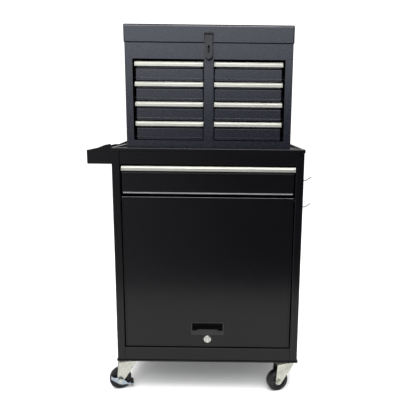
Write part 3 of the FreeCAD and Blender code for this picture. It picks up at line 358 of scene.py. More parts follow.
class Finish(Enum):
    """Every finish on the cabinet."""

    CABINET_PAINT = Paint(
        "cabinet_paint", (0.0022, 0.0022, 0.0028), (0.0038, 0.0038, 0.0046), (0.17, 0.24), sheen=0.17,
        grain_depth=0.00003, grain_strength=0.1, fine_share=0.25, slow_scale=45.0,
    )
    CHEST_PAINT = Paint(
        "chest_paint", (0.004, 0.0045, 0.0095), (0.007, 0.0078, 0.013), (0.1, 0.4), sheen=0.46,
        grain_depth=0.00015, grain_strength=0.9, fine_scale=620.0, slow_scale=230.0, fine_share=0.8,
        gloss_tint=(0.93, 0.95, 1.0, 1.0),
    )
    HARDWARE_PAINT = Paint(
        "hardware_paint", (0.004, 0.0045, 0.0075), (0.007, 0.0075, 0.01), (0.24, 0.34), sheen=0.18,
        grain_depth=0.00006,
    )
    ALUMINIUM = DrawnMetal("handle_aluminium", (0.4, 0.4, 0.36), (0.36, 0.36, 0.325), (0.42, 0.5))
    # Light grey paint on the bead along the wide front's lower fold
    FOLD = Paint("light_grey_fold", (0.15, 0.15, 0.16), (0.08, 0.08, 0.09), (0.4, 0.5), film=0.8)
    # Lighter grey paint on folds and rounded edges: a painted highlight line
    EDGE_HIGHLIGHT = Paint("painted_edge_highlight", (0.1, 0.1, 0.11), (0.03, 0.03, 0.034), (0.3, 0.4), film=0.9)
    # Near-black matte paint for painted shade: shadow bands and dark gaps
    PAINTED_SHADE = Moulding("painted_shade", (0.0015, 0.0015, 0.002), (0.003, 0.003, 0.003), (0.8, 0.9), sheen=0.05)
    ZINC = DrawnMetal(
        "zinc_plate", (0.36, 0.36, 0.32), (0.2, 0.2, 0.17), (0.18, 0.4), stretch=(1.0, 1.0, 0.35),
        scale=260.0,
    )
    BLUE_ZINC = DrawnMetal(
        "blue_zinc_plate", (0.26, 0.3, 0.34), (0.15, 0.17, 0.19), (0.15, 0.32), stretch=(1.0, 1.0, 0.35),
        scale=260.0,
    )
    CHROME = DrawnMetal("lock_chrome", (0.36, 0.36, 0.33), (0.22, 0.22, 0.2), (0.2, 0.35), scale=900.0)
    RUBBER = Moulding("tyre_rubber", (0.003, 0.003, 0.0035), (0.01, 0.0095, 0.009), (0.42, 0.6), sheen=0.3)
    HUB = Moulding("hub_plastic", (0.003, 0.003, 0.004), (0.008, 0.008, 0.009), (0.3, 0.45), sheen=0.3)
    PULL = Moulding("pull_plastic", (0.007, 0.007, 0.0075), (0.012, 0.012, 0.0125), (0.32, 0.44), sheen=0.25)
    # Near-black rough plastic inside the pull's cup: painted shade in the recess
    CUP_SHADE = Moulding("pull_cup_shade", (0.002, 0.002, 0.0025), (0.004, 0.004, 0.004), (0.6, 0.7), sheen=0.08)
    NYLON = Moulding("glide_nylon", (0.006, 0.006, 0.0065), (0.01, 0.01, 0.01), (0.5, 0.6), sheen=0.2)
    HOOK = Moulding("hook_coating", (0.26, 0.26, 0.265), (0.2, 0.2, 0.205), (0.35, 0.5), grain_depth=0.00003)

    def material(self) -> bpy.types.Material:
        """The finish's material, made once.

        Returns:
            The material.
        """
        name = f"finish_{self.value.name}"
        made = bpy.data.materials.get(name)
        if made is None:
            made = self.value.build()
            made.name = name
        return made


def dress(obj: bpy.types.Object, finish: Finish) -> None:
    """Put one finish all over a piece."""
    obj.data.materials.clear()
    obj.data.materials.append(finish.material())


def accent(obj: bpy.types.Object, finish: Finish, test: Test) -> None:
    """Give part of a finished piece a second finish.

    Args:
        obj: the piece.
        finish: the finish of the part.
        test: takes a face's middle and normal.
    """
    obj.data.materials.append(finish.material())
    last = len(obj.data.materials) - 1
    for face in obj.data.polygons:
        if test(face.center, face.normal):
            face.material_index = last


NODE_FINISHES: dict[str, Finish] = {
    "cabinet": Finish.CABINET_PAINT,
    "front": Finish.CABINET_PAINT,
    "side_tray": Finish.CABINET_PAINT,
    "side_hooks": Finish.HOOK,
    "cabinet_fasteners": Finish.ZINC,
    "caster_plates": Finish.ZINC,
    "caster_fork": Finish.ZINC,
    "caster_wheel": Finish.RUBBER,
    "brake_lever": Finish.BLUE_ZINC,
    "large_drawer": Finish.CABINET_PAINT,
    "large_drawer_handle": Finish.ALUMINIUM,
    "door_panel": Finish.CABINET_PAINT,
    "door_tracks": Finish.CABINET_PAINT,
    "door_glides": Finish.NYLON,
    "door_pull": Finish.PULL,
    "lock": Finish.CHROME,
    "chest": Finish.CHEST_PAINT,
    "drawer": Finish.CHEST_PAINT,
    "handle": Finish.ALUMINIUM,
    "lid": Finish.CHEST_PAINT,
    "lid_hinge": Finish.HARDWARE_PAINT,
    "hasp": Finish.HARDWARE_PAINT,
}


def dress_nodes(nodes: dict[str, bpy.types.Object]) -> None:
    """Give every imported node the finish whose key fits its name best.

    Args:
        nodes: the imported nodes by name.
    """
    for name, obj in nodes.items():
        keys = [key for key in NODE_FINISHES if name.startswith(key)]
        finish = NODE_FINISHES[max(keys, key=len)]
        dress(obj, finish)
        LOG.info("node %s gets %s", name, finish.value.name)


class Kind(Enum):
    """What a test picks in edit mode."""

    VERT = "VERT"
    EDGE = "EDGE"
    FACE = "FACE"


def along(axis: Axis) -> Test:
    """Picks the edges that run along an axis."""
    return lambda middle, direction: abs(direction.dot(Vector(axis.value))) > ALONG


def facing(x: float, y: float, z: float, least: float = ALONG) -> Test:
    """Picks the faces whose normal has at least this share of one direction."""
    return lambda middle, normal: normal.dot(Vector((x, y, z))) > least


def settle() -> None:
    """Set the active object's place, turn and size into its mesh."""
    bpy.ops.object.transform_apply(location=True, rotation=True, scale=True)


def duplicate(obj: bpy.types.Object) -> bpy.types.Object:
    """Copy an object with a mesh of its own.

    Args:
        obj: the object.

    Returns:
        The copy, in the scene.
    """
    copy = obj.copy()
    copy.data = obj.data.copy()
    bpy.context.scene.collection.objects.link(copy)
    return copy


class Work:
    """A mesh on the bench, shaped by operators in edit mode and finished by modifiers."""

    def __init__(self, obj: bpy.types.Object, name: str) -> None:
        """Take a mesh in hand.

        Args:
            obj: the mesh object.
            name: the piece's name.
        """
        self.obj = obj
        obj.name = name
        obj.data.name = name

    def take(self) -> "Work":
        """Make this the one selected and active object.

        Returns:
            The work.
        """
        bpy.ops.object.select_all(action="DESELECT")
        self.obj.select_set(True)
        bpy.context.view_layer.objects.active = self.obj
        return self

    @classmethod
    def block(cls, name: str, low: Sequence[float], high: Sequence[float]) -> "Work":
        """Start from a cube set between two corners.

        Args:
            name: the piece's name.
            low: lowest corner in metres.
            high: highest corner in metres.

        Returns:
            The work.
        """
        middle = [(a + b) / 2 for a, b in zip(low, high)]
        size = [b - a for a, b in zip(low, high)]
        bpy.ops.mesh.primitive_cube_add(size=1.0, location=middle, scale=size)
        settle()
        return cls(bpy.context.object, name)

    @classmethod
    def line(cls, name: str, points: Sequence[Point]) -> "Work":
        """Start from one vertex and extrude it from point to point.

        Args:
            name: the piece's name.
            points: places in metres.

        Returns:
            The work, a bare line of edges.
        """
        bpy.ops.mesh.primitive_plane_add(size=MM, location=points[0])
        settle()
        work = cls(bpy.context.object, name)
        with work.edit(Kind.VERT, whole=True):
            bpy.ops.mesh.merge(type="CENTER")
            for start, end in zip(points, points[1:]):
                step = Vector(end) - Vector(start)
                bpy.ops.mesh.extrude_vertices_move(TRANSFORM_OT_translate={"value": step})
        return work

    @classmethod
    def extrusion(cls, name: str, axis: Axis, start: float, length: float, outline: Sequence[Flat]) -> "Work":
        """Extrude an outline along X or Y.

        Args:
            name: the piece's name.
            axis: X or Y.
            start: where it starts along the axis.
            length: how far it runs.
            outline: pairs of Y and Z, or of X and Z.

        Returns:
            The work.
        """
        lengthwise = axis is Axis.X
        work = cls.line(name, [(start, flat, z) if lengthwise else (flat, start, z) for flat, z in outline])
        with work.edit(whole=True):
            bpy.ops.mesh.edge_face_add()
            move = (length, 0.0, 0.0) if lengthwise else (0.0, length, 0.0)
            bpy.ops.mesh.extrude_region_move(TRANSFORM_OT_translate={"value": move})
            work.outward()
        return work

    @classmethod
    def lathe(cls, name: str, profile: Sequence[Flat], centre: Point, axis: Axis, steps: int = 48,
              ring: bool = False) -> "Work":
        """Spin a profile into a turned shape.

        Args:
            name: the piece's name.
            profile: pairs of radius and place along the axis, in metres.
            centre: where the axis starts, in metres.
            axis: direction of the axis.
            steps: segments round the turn.
            ring: true if the profile's last point joins its first.

        Returns:
            The work.
        """
        forward = Vector(axis.value)
        out = Vector((Axis.X if axis is Axis.Z else Axis.Z).value)
        points = [tuple(Vector(centre) + out * radius + forward * place) for radius, place in profile]
        work = cls.line(name, points)
        with work.edit(Kind.VERT, whole=True):
            if ring:
                ends = Vector(points[0]), Vector(points[-1])
                work.pick(Kind.VERT, lambda place, normal: min((place - end).length for end in ends) < SAME)
                bpy.ops.mesh.edge_face_add()
                bpy.ops.mesh.select_all(action="SELECT")
            bpy.ops.mesh.spin(steps=steps, angle=2 * math.pi, center=centre, axis=axis.value)
            bpy.ops.mesh.select_all(action="SELECT")
            bpy.ops.mesh.remove_doubles(threshold=SAME)
            work.outward()
        return work

    @classmethod
    def wire(cls, name: str, points: Sequence[Vector], radius: float) -> "Work":
        """Sweep a round section along a line.

        Args:
            name: the piece's name.
            points: the line in metres.
            radius: the section's radius.

        Returns:
            The work.
        """
        curve = bpy.data.curves.new(name, "CURVE")
        curve.dimensions = "3D"
        curve.bevel_depth = radius
        curve.bevel_resolution = 3
        curve.use_fill_caps = True
        line = curve.splines.new("POLY")
        line.points.add(len(points) - 1)
        for knot, point in zip(line.points, points):
            knot.co = (*point, 1.0)
        obj = bpy.data.objects.new(name, curve)
        bpy.context.scene.collection.objects.link(obj)
        cls(obj, name).take()
        bpy.ops.object.convert(target="MESH")
        work = cls(bpy.context.object, name)
        with work.edit():
            work.outward()
        return work

    @classmethod
    def copy_of(cls, node: bpy.types.Object, name: str, flat: float = 1.0) -> "Work":
        """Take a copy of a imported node, with its loose triangles merged into clean faces.

        Args:
            node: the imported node.
            name: the new piece's name.
            flat: faces that meet within this angle in degrees become one.

        Returns:
            The work.
        """
        obj = duplicate(node)
        obj.parent = None
        for key in [key for key in obj.keys() if key.startswith("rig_")]:
            del obj[key]
        work = cls(obj, name)
        with work.edit(Kind.VERT, whole=True):
            bpy.ops.mesh.customdata_custom_splitnormals_clear()
            bpy.ops.mesh.remove_doubles(threshold=SAME)
            bpy.ops.mesh.dissolve_limited(angle_limit=math.radians(flat))
        return work

    @contextmanager
    def edit(self, kind: Kind = Kind.FACE, whole: bool = False) -> Iterator[None]:
        """Edit mode on this mesh.

        Args:
            kind: what is being selected.
            whole: start with all of it selected, not with nothing.

        Yields:
            Nothing.
        """
        self.take()
        bpy.ops.object.mode_set(mode="EDIT")
        bpy.ops.mesh.select_mode(type=kind.value)
        bpy.ops.mesh.select_all(action="SELECT" if whole else "DESELECT")
        yield
        bpy.ops.object.mode_set(mode="OBJECT")

    @staticmethod
    def outward() -> None:
        """Turn every face of the mesh in hand outwards."""
        bpy.ops.mesh.select_all(action="SELECT")
        bpy.ops.mesh.normals_make_consistent(inside=False)

    def pick(self, kind: Kind, test: Test) -> int:
        """Select the parts of the mesh that pass a test, in edit mode.

        Args:
            kind: vertices, edges or faces.
            test: takes the part's middle, and its normal or an edge's direction.

        Returns:
            How many were selected.
        """
        bpy.ops.mesh.select_mode(type=kind.value)
        bpy.ops.mesh.select_all(action="DESELECT")
        mesh = bmesh.from_edit_mesh(self.obj.data)
        if kind is Kind.FACE:
            rows = [(face, face.calc_center_median(), face.normal) for face in mesh.faces]
        elif kind is Kind.VERT:
            rows = [(vert, vert.co, vert.normal) for vert in mesh.verts]
        else:
            rows = [(edge, (edge.verts[0].co + edge.verts[1].co) / 2,
                     (edge.verts[1].co - edge.verts[0].co).normalized()) for edge in mesh.edges]
        picked = [part for part, middle, normal in rows if test(middle, normal)]
        for part in picked:
            part.select_set(True)
        bmesh.update_edit_mesh(self.obj.data)
        return len(picked)

    def change(self, kind: Kind, test: Test, action: Callable[..., object],
               *rows: dict[str, object]) -> "Work":
        """Run an operator on the parts that pass a test.

        Args:
            kind: vertices, edges or faces.
            test: takes a part's middle, and its normal or an edge's direction.
            action: the operator.
            rows: its settings, one row for each time it runs.

        Returns:
            The work.
        """
        with self.edit(kind):
            if self.pick(kind, test):
                for settings in rows:
                    action(**settings)
        return self

    def extrude(self, test: Test, move: Point) -> "Work":
        """Extrude the faces that pass a test."""
        return self.change(
            Kind.FACE, test, bpy.ops.mesh.extrude_region_move, {"TRANSFORM_OT_translate": {"value": move}})

    def inset(self, test: Test, rings: Sequence[Flat], even: bool = True) -> "Work":
        """Inset the faces that pass a test, once for each ring's width and depth, above 0 being raised."""
        rows = [{"thickness": width, "depth": depth, "use_even_offset": even} for width, depth in rings]
        return self.change(Kind.FACE, test, bpy.ops.mesh.inset, *rows)

    def remove(self, test: Test) -> "Work":
        """Delete the faces that pass a test."""
        return self.change(Kind.FACE, test, bpy.ops.mesh.delete, {"type": "FACE"})

    def round(self, test: Test, width: float, segments: int = 3) -> "Work":
        """Bevel the edges that pass a test, which takes an edge's middle and direction."""
        row = {"offset": width, "segments": segments, "affect": "EDGES", "clamp_overlap": True}
        return self.change(Kind.EDGE, test, bpy.ops.mesh.bevel, row)

    def modifier(self, kind: str, **settings: object) -> "Work":
        """Add a modifier and apply it.

        Args:
            kind: the modifier's type.
            settings: its properties.

        Returns:
            The work.
        """
        self.take()
        made = self.obj.modifiers.new(kind.lower(), kind)
        for key, value in settings.items():
            setattr(made, key, value)
        bpy.ops.object.modifier_apply(modifier=made.name)
        return self

    def soften(self, width: float, segments: int = 2, angle: float = 32.0) -> "Work":
        """Break every sharp edge, and let the flat faces keep their shading."""
        limit = math.radians(angle)
        return self.modifier("BEVEL", width=width, segments=segments, limit_method="ANGLE", angle_limit=limit)

    def thicken(self, thickness: float, offset: float = -1.0) -> "Work":
        """Give a bare sheet its thickness, inwards unless the offset is 1."""
        return self.modifier("SOLIDIFY", thickness=thickness, offset=offset)

    def drill(self, *tools: "Work") -> "Work":
        """Cut other works out of this one and bin them.

        Args:
            tools: the shapes to cut away.

        Returns:
            The work.
        """
        for tool in tools:
            self.modifier("BOOLEAN", operation="DIFFERENCE", object=tool.obj, solver="EXACT")
            bpy.data.objects.remove(tool.obj)
        return self

    def add(self, *others: "Work") -> "Work":
        """Join other works to this mesh, each kept as its own shell.

        Args:
            others: the shapes to add.

        Returns:
            The work.
        """
        self.take()
        for other in others:
            other.obj.select_set(True)
        bpy.ops.object.join()
        return self

    def loose(self) -> list["Work"]:
        """Part the mesh into its separate shells.

        Returns:
            One work for each.
        """
        before = set(bpy.context.scene.objects)
        with self.edit(whole=True):
            bpy.ops.mesh.separate(type="LOOSE")
        parted = [obj for obj in bpy.context.scene.objects if obj not in before]
        return [self] + [Work(obj, obj.name) for obj in parted]

    def twin(self, name: str, matrix: Matrix) -> "Work":
        """Copy the work with its own mesh and set the copy in its place.

        Args:
            name: the copy's name.
            matrix: where it goes.

        Returns:
            The copy.
        """
        obj = duplicate(self.obj)
        obj.matrix_world = matrix
        copy = Work(obj, name).take()
        settle()
        return copy

    def bin(self) -> None:
        """Throw the work away."""
        bpy.data.objects.remove(self.obj)

    def finish(self, finish: Finish, body: str, *nodes: str, angle: float = 35.0) -> bpy.types.Object:
        """Shade, dress and hang the piece on its body.

        Args:
            finish: its finish, where it has none yet.
            body: the body it moves with.
            nodes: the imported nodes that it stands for.
            angle: edges flatter than this many degrees are shaded smooth.

        Returns:
            The finished object.
        """
        self.take()
        bpy.ops.object.shade_smooth_by_angle(angle=math.radians(angle))
        self.modifier("WEIGHTED_NORMAL", keep_sharp=True, weight=80)
        dress(self.obj, finish)
        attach(self.obj, body)
        if nodes:
            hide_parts(*nodes)
        LOG.info("piece %s on %s: %d faces", self.obj.name, body, len(self.obj.data.polygons))
        return self.obj


def joint_place(frame: dict, name: str) -> Vector:
    """Where a joint's axis runs through."""
    return next(Vector(joint["pos_m"]) for joint in frame["joints"] if joint["name"] == name)


@dataclass
class DrawerPulls:
    """Extruded aluminium pulls along the tops of the drawer fronts, with a cap at each end."""

    metal: float = 1.4 * MM
    brow: float = 4.5 * MM
    brow_inner: float = 0.58 * MM
    standoff: float = 8.0 * MM
    cap: float = 3.0 * MM
    cap_gap: float = 0.08 * MM
    spare: float = 3.0 * MM
    cap_back: float = 0.3 * MM
    corner: float = 0.9 * MM
    edge: float = 0.3 * MM

    def profile(self, low: Vector, high: Vector) -> list[Flat]:
        """Cross-section of the extrusion.

        Args:
            low: lowest corner of the pull.
            high: highest corner of the pull.

        Returns:
            Pairs of Y and Z.
        """
        front, back, foot, top = low.y, high.y, low.z, high.z
        inner = self.brow + self.brow_inner
        return [
            (front, foot), (front, top - self.brow), (front + self.brow, top), (back, top),
            (back, top - self.metal), (front + inner, top - self.metal), (front + self.metal, top - inner),
            (front + self.metal, foot),
        ]

    def bar(self, name: str, low: Vector, high: Vector) -> Work:
        """The extrusion, short of the caps at its ends.

        Args:
            name: the piece's name.
            low: lowest corner of the pull.
            high: highest corner of the pull.

        Returns:
            The work.
        """
        start = low.x + self.cap + self.cap_gap
        length = high.x - low.x - 2 * (self.cap + self.cap_gap)
        work = Work.extrusion(name, Axis.X, start, length, self.profile(low, high))
        shoulder = [(low.y, high.z - self.brow), (low.y + self.brow, high.z)]

        def outer_fold(middle: Vector, direction: Vector) -> bool:
            """An outer fold that runs along the bar."""
            near = min(math.hypot(middle.y - y, middle.z - z) for y, z in shoulder)
            return abs(direction.x) > ALONG and near < self.edge

        return work.round(outer_fold, self.corner, 4).soften(self.edge)

    def end_cap(self, name: str, low: Vector, high: Vector, start: float) -> Work:
        """Cap that closes one end in front of the drawer.

        Args:
            name: the piece's name.
            low: lowest corner of the pull.
            high: highest corner of the pull.
            start: its lower X.

        Returns:
            The work.
        """
        back = low.y + self.standoff - self.cap_back
        shoulder = [(low.y, high.z - self.brow), (low.y + self.brow, high.z)]
        points = [(low.y, low.z), *shoulder, (back, high.z), (back, low.z)]
        return Work.extrusion(name, Axis.X, start, self.cap, points).soften(self.edge, 2, 20.0)

    def one(self, node: str) -> Work:
        """Model the pull that stands where a node is.

        Args:
            node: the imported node's name.

        Returns:
            The work.
        """
        low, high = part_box(node)
        low.x += self.spare
        caps = [self.end_cap("cap", low, high, start) for start in (low.x, high.x - self.cap)]
        return self.bar(node + "_pull", low, high).add(*caps)

    def build(self) -> None:
        """Model the small pull once, copy it to every drawer, and model the wide one."""
        first = "handle_left_1"
        pattern = self.one(first)
        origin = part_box(first)[0]
        for side in ("left", "right"):
            for row in range(1, 5):
                node = f"handle_{side}_{row}"
                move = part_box(node)[0] - origin
                if side == "right":
                    move.x -= self.spare
                copy = pattern.twin(node + "_bar", Matrix.Translation(move))
                copy.finish(Finish.ALUMINIUM, f"drawer_{side}_{row}", node)
        pattern.bin()
        self.one("large_drawer_handle").finish(Finish.ALUMINIUM, "large_drawer", "large_drawer_handle")


@dataclass
class DrawerFronts:
    """Pressed fronts: a face that rolls back under its pull, with a folded lower edge."""

    sheet: float = 1.0 * MM
    depth: float = 10.0 * MM
    corner: float = 1.2 * MM
    fold: float = 1.3 * MM
    roll: float = 14.0 * MM
    roll_angle: float = 36.0
    roll_start: float = 19.5 * MM
    roll_steps: int = 8
    shade_start: float = 2.6 * MM
    hem_step: float = 2.0 * MM
    hem_drop: float = 4.8 * MM
    widen: float = 2.8 * MM
    tray_gap: float = 2.0 * MM
    tray_lift: float = 3.0 * MM
    tray_height: float = 34.0 * MM
    bead: float = 2.1 * MM
    bead_drop: float = 5.0 * MM
    bead_proud: float = 0.02 * MM
    rows: int = 4

    def face(self, front: float, foot: float, top: float, hem: float) -> list[Flat]:
        """Outline of a front, seen from its end.

        Args:
            front: Y of the face.
            foot: Z of the face's lower fold.
            top: Z of the upper flange.
            hem: how far the lip hangs below the fold.

        Returns:
            Pairs of Y and Z, round the outline.
        """
        back = front + self.depth
        points = [(back, foot - hem)]
        if hem > 0.0:
            points += [(front + self.hem_step, foot - hem), (front + self.hem_step, foot - self.fold * 0.5)]
        for step in range(5):
            angle = math.radians(90.0 - 22.5 * step)
            points.append((front + self.fold * (1.0 - math.cos(angle)),
                           foot + self.fold * (1.0 - math.sin(angle))))
        start = top - self.roll_start
        for step in range(self.roll_steps + 1):
            angle = math.radians(self.roll_angle * step / self.roll_steps)
            points.append((front + self.roll * (1.0 - math.cos(angle)), start + self.roll * math.sin(angle)))
        points.append((points[-1][0], top))
        points.append((back, top))
        return points

    def shell(self, name: str, left: float, right: float, outline: list[Flat]) -> Work:
        """Sheet with the outline, returns at both ends and an open back.

        Args:
            name: the piece's name.
            left: its lower X.
            right: its upper X.
            outline: pairs of Y and Z.

        Returns:
            The work.
        """
        back = max(y for y, _ in outline)
        work = Work.extrusion(name, Axis.X, left, right - left, outline).remove(facing(0.0, 1.0, 0.0, 0.99))

        def end(middle: Vector, direction: Vector) -> bool:
            """An edge round an end, off the open back."""
            near = min(abs(middle.x - left), abs(middle.x - right))
            return abs(direction.x) < 0.1 and near < SAME and middle.y < back - NEAR

        return work.round(end, self.corner, 3).thicken(self.sheet)

    def tray(self, low: Vector, high: Vector) -> Work:
        """Open tray behind a small front.

        Args:
            low: lowest corner of the drawer.
            high: highest corner of the drawer.

        Returns:
            The work.
        """
        foot = low.z + self.tray_lift
        top = foot + self.tray_height
        corners = (low.x + self.tray_gap, low.y + self.sheet, foot), (high.x - self.tray_gap, high.y, top)
        box = Work.block("tray", *corners)
        box.remove(facing(0.0, 0.0, 1.0))
        return box.round(lambda middle, direction: middle.z < top - NEAR, self.corner, 2).thicken(self.sheet)

    def small(self, side: str) -> None:
        """Model the top drawer of a column and copy it down.

        Args:
            side: left or right.
        """
        low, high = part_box(f"drawer_{side}_1")
        left = low.x - (self.widen if side == "right" else 0.0)
        right = high.x + (self.widen if side == "left" else 0.0)
        outline = self.face(low.y, low.z, high.z, self.hem_drop)
        pattern = self.shell("front", left, right, outline).add(self.tray(low, high))
        for row in range(1, self.rows + 1):
            node = f"drawer_{side}_{row}"
            fold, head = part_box(node)
            copy = pattern.twin(node + "_pressing", Matrix.Translation(fold - low))
            piece = copy.finish(Finish.CHEST_PAINT, node, node)
            # The lower fold gets a painted highlight line
            accent(piece, Finish.EDGE_HIGHLIGHT, lambda middle, normal: (
                middle.y < fold.y + self.fold and abs(middle.z - fold.z) < self.fold
                and -0.95 < normal.z < -0.1))
            # The roll under the pull gets painted shade: a dark band where the pull's shadow falls
            start = head.z - self.roll_start + self.shade_start
            accent(piece, Finish.PAINTED_SHADE, lambda middle, normal: (
                middle.z > start and middle.y < fold.y + 0.5 * self.depth and normal.y < -0.5))
        pattern.bin()

    def wide(self) -> None:
        """The wide front, with the bright bead of its folded lower edge."""
        low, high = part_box("large_drawer_front")
        front = self.shell("wide_front_pressing", low.x, high.x, self.face(low.y, low.z, high.z, 0.0))
        front.finish(Finish.CABINET_PAINT, "large_drawer", "large_drawer_front")
        turns = [math.radians(angle) for angle in range(-90, 91, 15)]
        points = [(low.y - self.bead_proud + self.bead * (1.0 - math.cos(turn)),
                   low.z - self.bead_drop + self.bead * (1.0 - math.sin(turn))) for turn in turns]
        left, right = low.x + self.corner * 2, high.x - self.corner * 2
        fold = Work.extrusion("wide_front_fold", Axis.X, left, right - left, points)
        fold.soften(0.2 * MM, 1).finish(Finish.FOLD, "large_drawer")

    def build(self) -> None:
        """Build both columns and the wide front."""
        for side in ("left", "right"):
            self.small(side)
        self.wide()


@dataclass
class Casters:
    """Swivel casters: tyre, hub, pressed fork, top plates and the brake levers."""

    frame: dict
    radius: float = 31.75 * MM
    tyre_half: float = 11.0 * MM
    tyre_seat: float = 24.05 * MM
    hub_half: float = 12.0 * MM
    bore: float = 4.05 * MM
    offset: float = 28.6 * MM
    ribs: int = 6
    rib_rise: float = 2.2 * MM
    rib_width: float = 9.0
    leg_face: float = 15.25 * MM
    leg_top: float = 86.0 * MM
    rocker_face: float = 17.55 * MM
    rocker_sheet: float = 2.0 * MM
    rocker_rings: tuple[Flat, ...] = ((0.7 * MM, 0.0), (1.0 * MM, -0.6 * MM))
    rocker_edge: float = 0.3 * MM
    # X and Z from the axle, in millimetres
    rocker_line: tuple[Flat, ...] = (
        (27.0, 5.7), (25.9, 16.0), (18.9, 9.5), (-3.5, 7.6), (-13.0, -2.9), (-20.0, -10.9),
        (-20.0, -15.5), (-3.5, -15.5), (5.1, -12.1), (13.8, -5.4),
    )
    pad_angle: float = math.radians(25.5)
    pad_tab: Flat = (33.55 * MM, 39.95 * MM)
    pad_reach: Flat = (32.75 * MM, 40.75 * MM)
    pad_side: Flat = (-7.45 * MM, 14.55 * MM)
    pad_height: float = 10.0 * MM
    pad_bands: int = 11
    tab_step: float = 0.8 * MM
    rim: float = 1.9 * MM
    rim_depth: float = 0.45 * MM
    edge: float = 0.45 * MM
    corners: tuple[str, ...] = ("front_left", "front_right", "rear_left", "rear_right")
    braked: tuple[str, ...] = ("front_left", "rear_right")

    def place(self, corner: str) -> Matrix:
        """Where a caster's own frame lies: king pin on Z, wheel trailing along X.

        Args:
            corner: which caster.

        Returns:
            The frame's matrix.
        """
        pin = joint_place(self.frame, f"{corner}_swivel")
        axle = joint_place(self.frame, f"{corner}_wheel_spin")
        turn = math.atan2(axle.y - pin.y, axle.x - pin.x)
        return Matrix.Translation((pin.x, pin.y, 0.0)) @ Matrix.Rotation(turn, 4, "Z")

    def tyre(self) -> Work:
        """Rubber tyre with a crowned tread, rounded shoulders and a moulded ring on each wall.

        Returns:
            The work.
        """
        # Drop below the tread in millimetres, and share of half the width
        outline = [
            (0.0, 0.0), (0.25, 0.55), (1.0, 0.82), (2.2, 0.95), (3.4, 1.0), (4.4, 1.0), (4.8, 0.95),
            (5.4, 0.95), (5.8, 1.0), (6.8, 1.0), (7.3, 0.96),
            (self.radius / MM - self.tyre_seat / MM, 0.93),
        ]
        upper = [(self.radius - drop * MM, share * self.tyre_half) for drop, share in outline]
        lower = [(radius, -place) for radius, place in upper[:0:-1]]
        centre = (self.offset, 0.0, self.radius)
        return Work.lathe("tyre", lower + upper, centre, Axis.Y, 64, ring=True)

    def hub(self) -> Work:
        """Moulded hub with a dished web and ribs between the boss and the rim.

        Returns:
            The work.
        """
        half, bore, seat = self.hub_half, self.bore, self.tyre_seat - 0.1 * MM
        # Radius and half width, from the bore out to the tyre's seat
        side = [
            (bore, half), (8.2 * MM, half), (9.0 * MM, half - 0.8 * MM), (9.4 * MM, half - 4.0 * MM),
            (19.6 * MM, half - 4.0 * MM), (20.4 * MM, half - 0.6 * MM), (21.2 * MM, half - 0.2 * MM),
            (23.2 * MM, half - 0.2 * MM), (seat, half - 1.2 * MM),
        ]
        profile = side[::-1] + [(radius, -place) for radius, place in side]
        work = Work.lathe("hub", profile, (self.offset, 0.0, self.radius), Axis.Y, 72, ring=True)
        floor = half - 4.0 * MM
        sector = 360.0 / self.ribs
        for sign in (-1.0, 1.0):
            web = sign * floor

            def rib(middle: Vector, normal: Vector) -> bool:
                """A narrow sector of the web's floor."""
                angle = math.degrees(math.atan2(middle.z - self.radius, middle.x - self.offset)) % sector
                return angle < self.rib_width and abs(middle.y - web) < 0.1 * MM and normal.y * sign > ALONG

            work.extrude(rib, (0.0, sign * self.rib_rise, 0.0))
        return work

    def fork(self, corner: str) -> None:
        """Pressed fork with a raised rim round each leg, its race, axle bolt and nut.

        Args:
            corner: which caster.
        """
        node = f"caster_fork_{corner}"
        back = self.place(corner).inverted()
        work = Work.copy_of(self.frame["nodes"][node], f"{node}_pressing")
        face = self.leg_face

        def leg(middle: Vector, normal: Vector) -> bool:
            """The flat outer face of a leg."""
            place, way = back @ middle, back.to_3x3() @ normal
            return abs(way.y) > 0.99 and abs(abs(place.y) - face) < 0.1 * MM and place.z < self.leg_top

        work.inset(leg, [(self.rim, -self.rim_depth)], even=False)
        work.soften(self.edge).finish(Finish.ZINC, node, node)

    def pad_point(self, reach: float, side: float) -> Flat:
        """A point on the line from the axle out to the brake's pad."""
        across, up = math.cos(self.pad_angle), math.sin(self.pad_angle)
        return self.offset - reach * across - side * up, self.radius - reach * up + side * across

    def rocker(self) -> Work:
        """Brake rocker: a dished plate with a horn at its tail and a tab bent across under the pad.

        Returns:
            The work.
        """
        near, far = self.pad_tab
        points = [(self.offset + x * MM, self.radius + z * MM) for x, z in self.rocker_line]
        arm = [self.pad_point(far, side * 0.75 * self.rocker_sheet) for side in (1.0, -1.0)]
        outline = points[:6] + arm + points[6:]
        inner = self.rocker_face - self.rocker_sheet
        plate = Work.extrusion("rocker", Axis.Y, inner, self.rocker_sheet, outline)
        reach = 2 * self.rocker_face
        profile = [(0.0, 0.0), (self.bore, 0.0), (self.bore, reach), (0.0, reach)]
        plate.drill(Work.lathe("hole", profile, (self.offset, 0.0, self.radius), Axis.Y, 40))
        plate.inset(facing(0.0, 1.0, 0.0, 0.99), self.rocker_rings).soften(self.rocker_edge)
        start = self.pad_side[0] + self.tab_step
        corners = ((near, -1.0), (far, -1.0), (far, 1.0), (near, 1.0))
        half = 0.5 * self.rocker_sheet
        foot = [self.pad_point(reach, side * half) for reach, side in corners]
        return plate.add(Work.extrusion("tab", Axis.Y, start, inner - start, foot).soften(self.rocker_edge))

    def pad(self) -> Work:
        """Rubber pad that is pressed on the rocker's tab, ribbed on its outer faces.

        Returns:
            The work.
        """
        start, end = self.pad_side
        near, far = self.pad_reach
        half = 0.5 * self.pad_height
        corners = ((near, -half), (far, -half), (far, half), (near, half))
        section = [self.pad_point(reach, side) for reach, side in corners]
        work = Work.extrusion("pad", Axis.Y, start, end - start, section).round(along(Axis.Y), 2.0 * MM, 4)
        with work.edit(Kind.EDGE):
            work.pick(Kind.EDGE, along(Axis.Y))
            bpy.ops.mesh.subdivide(number_cuts=self.pad_bands - 1)

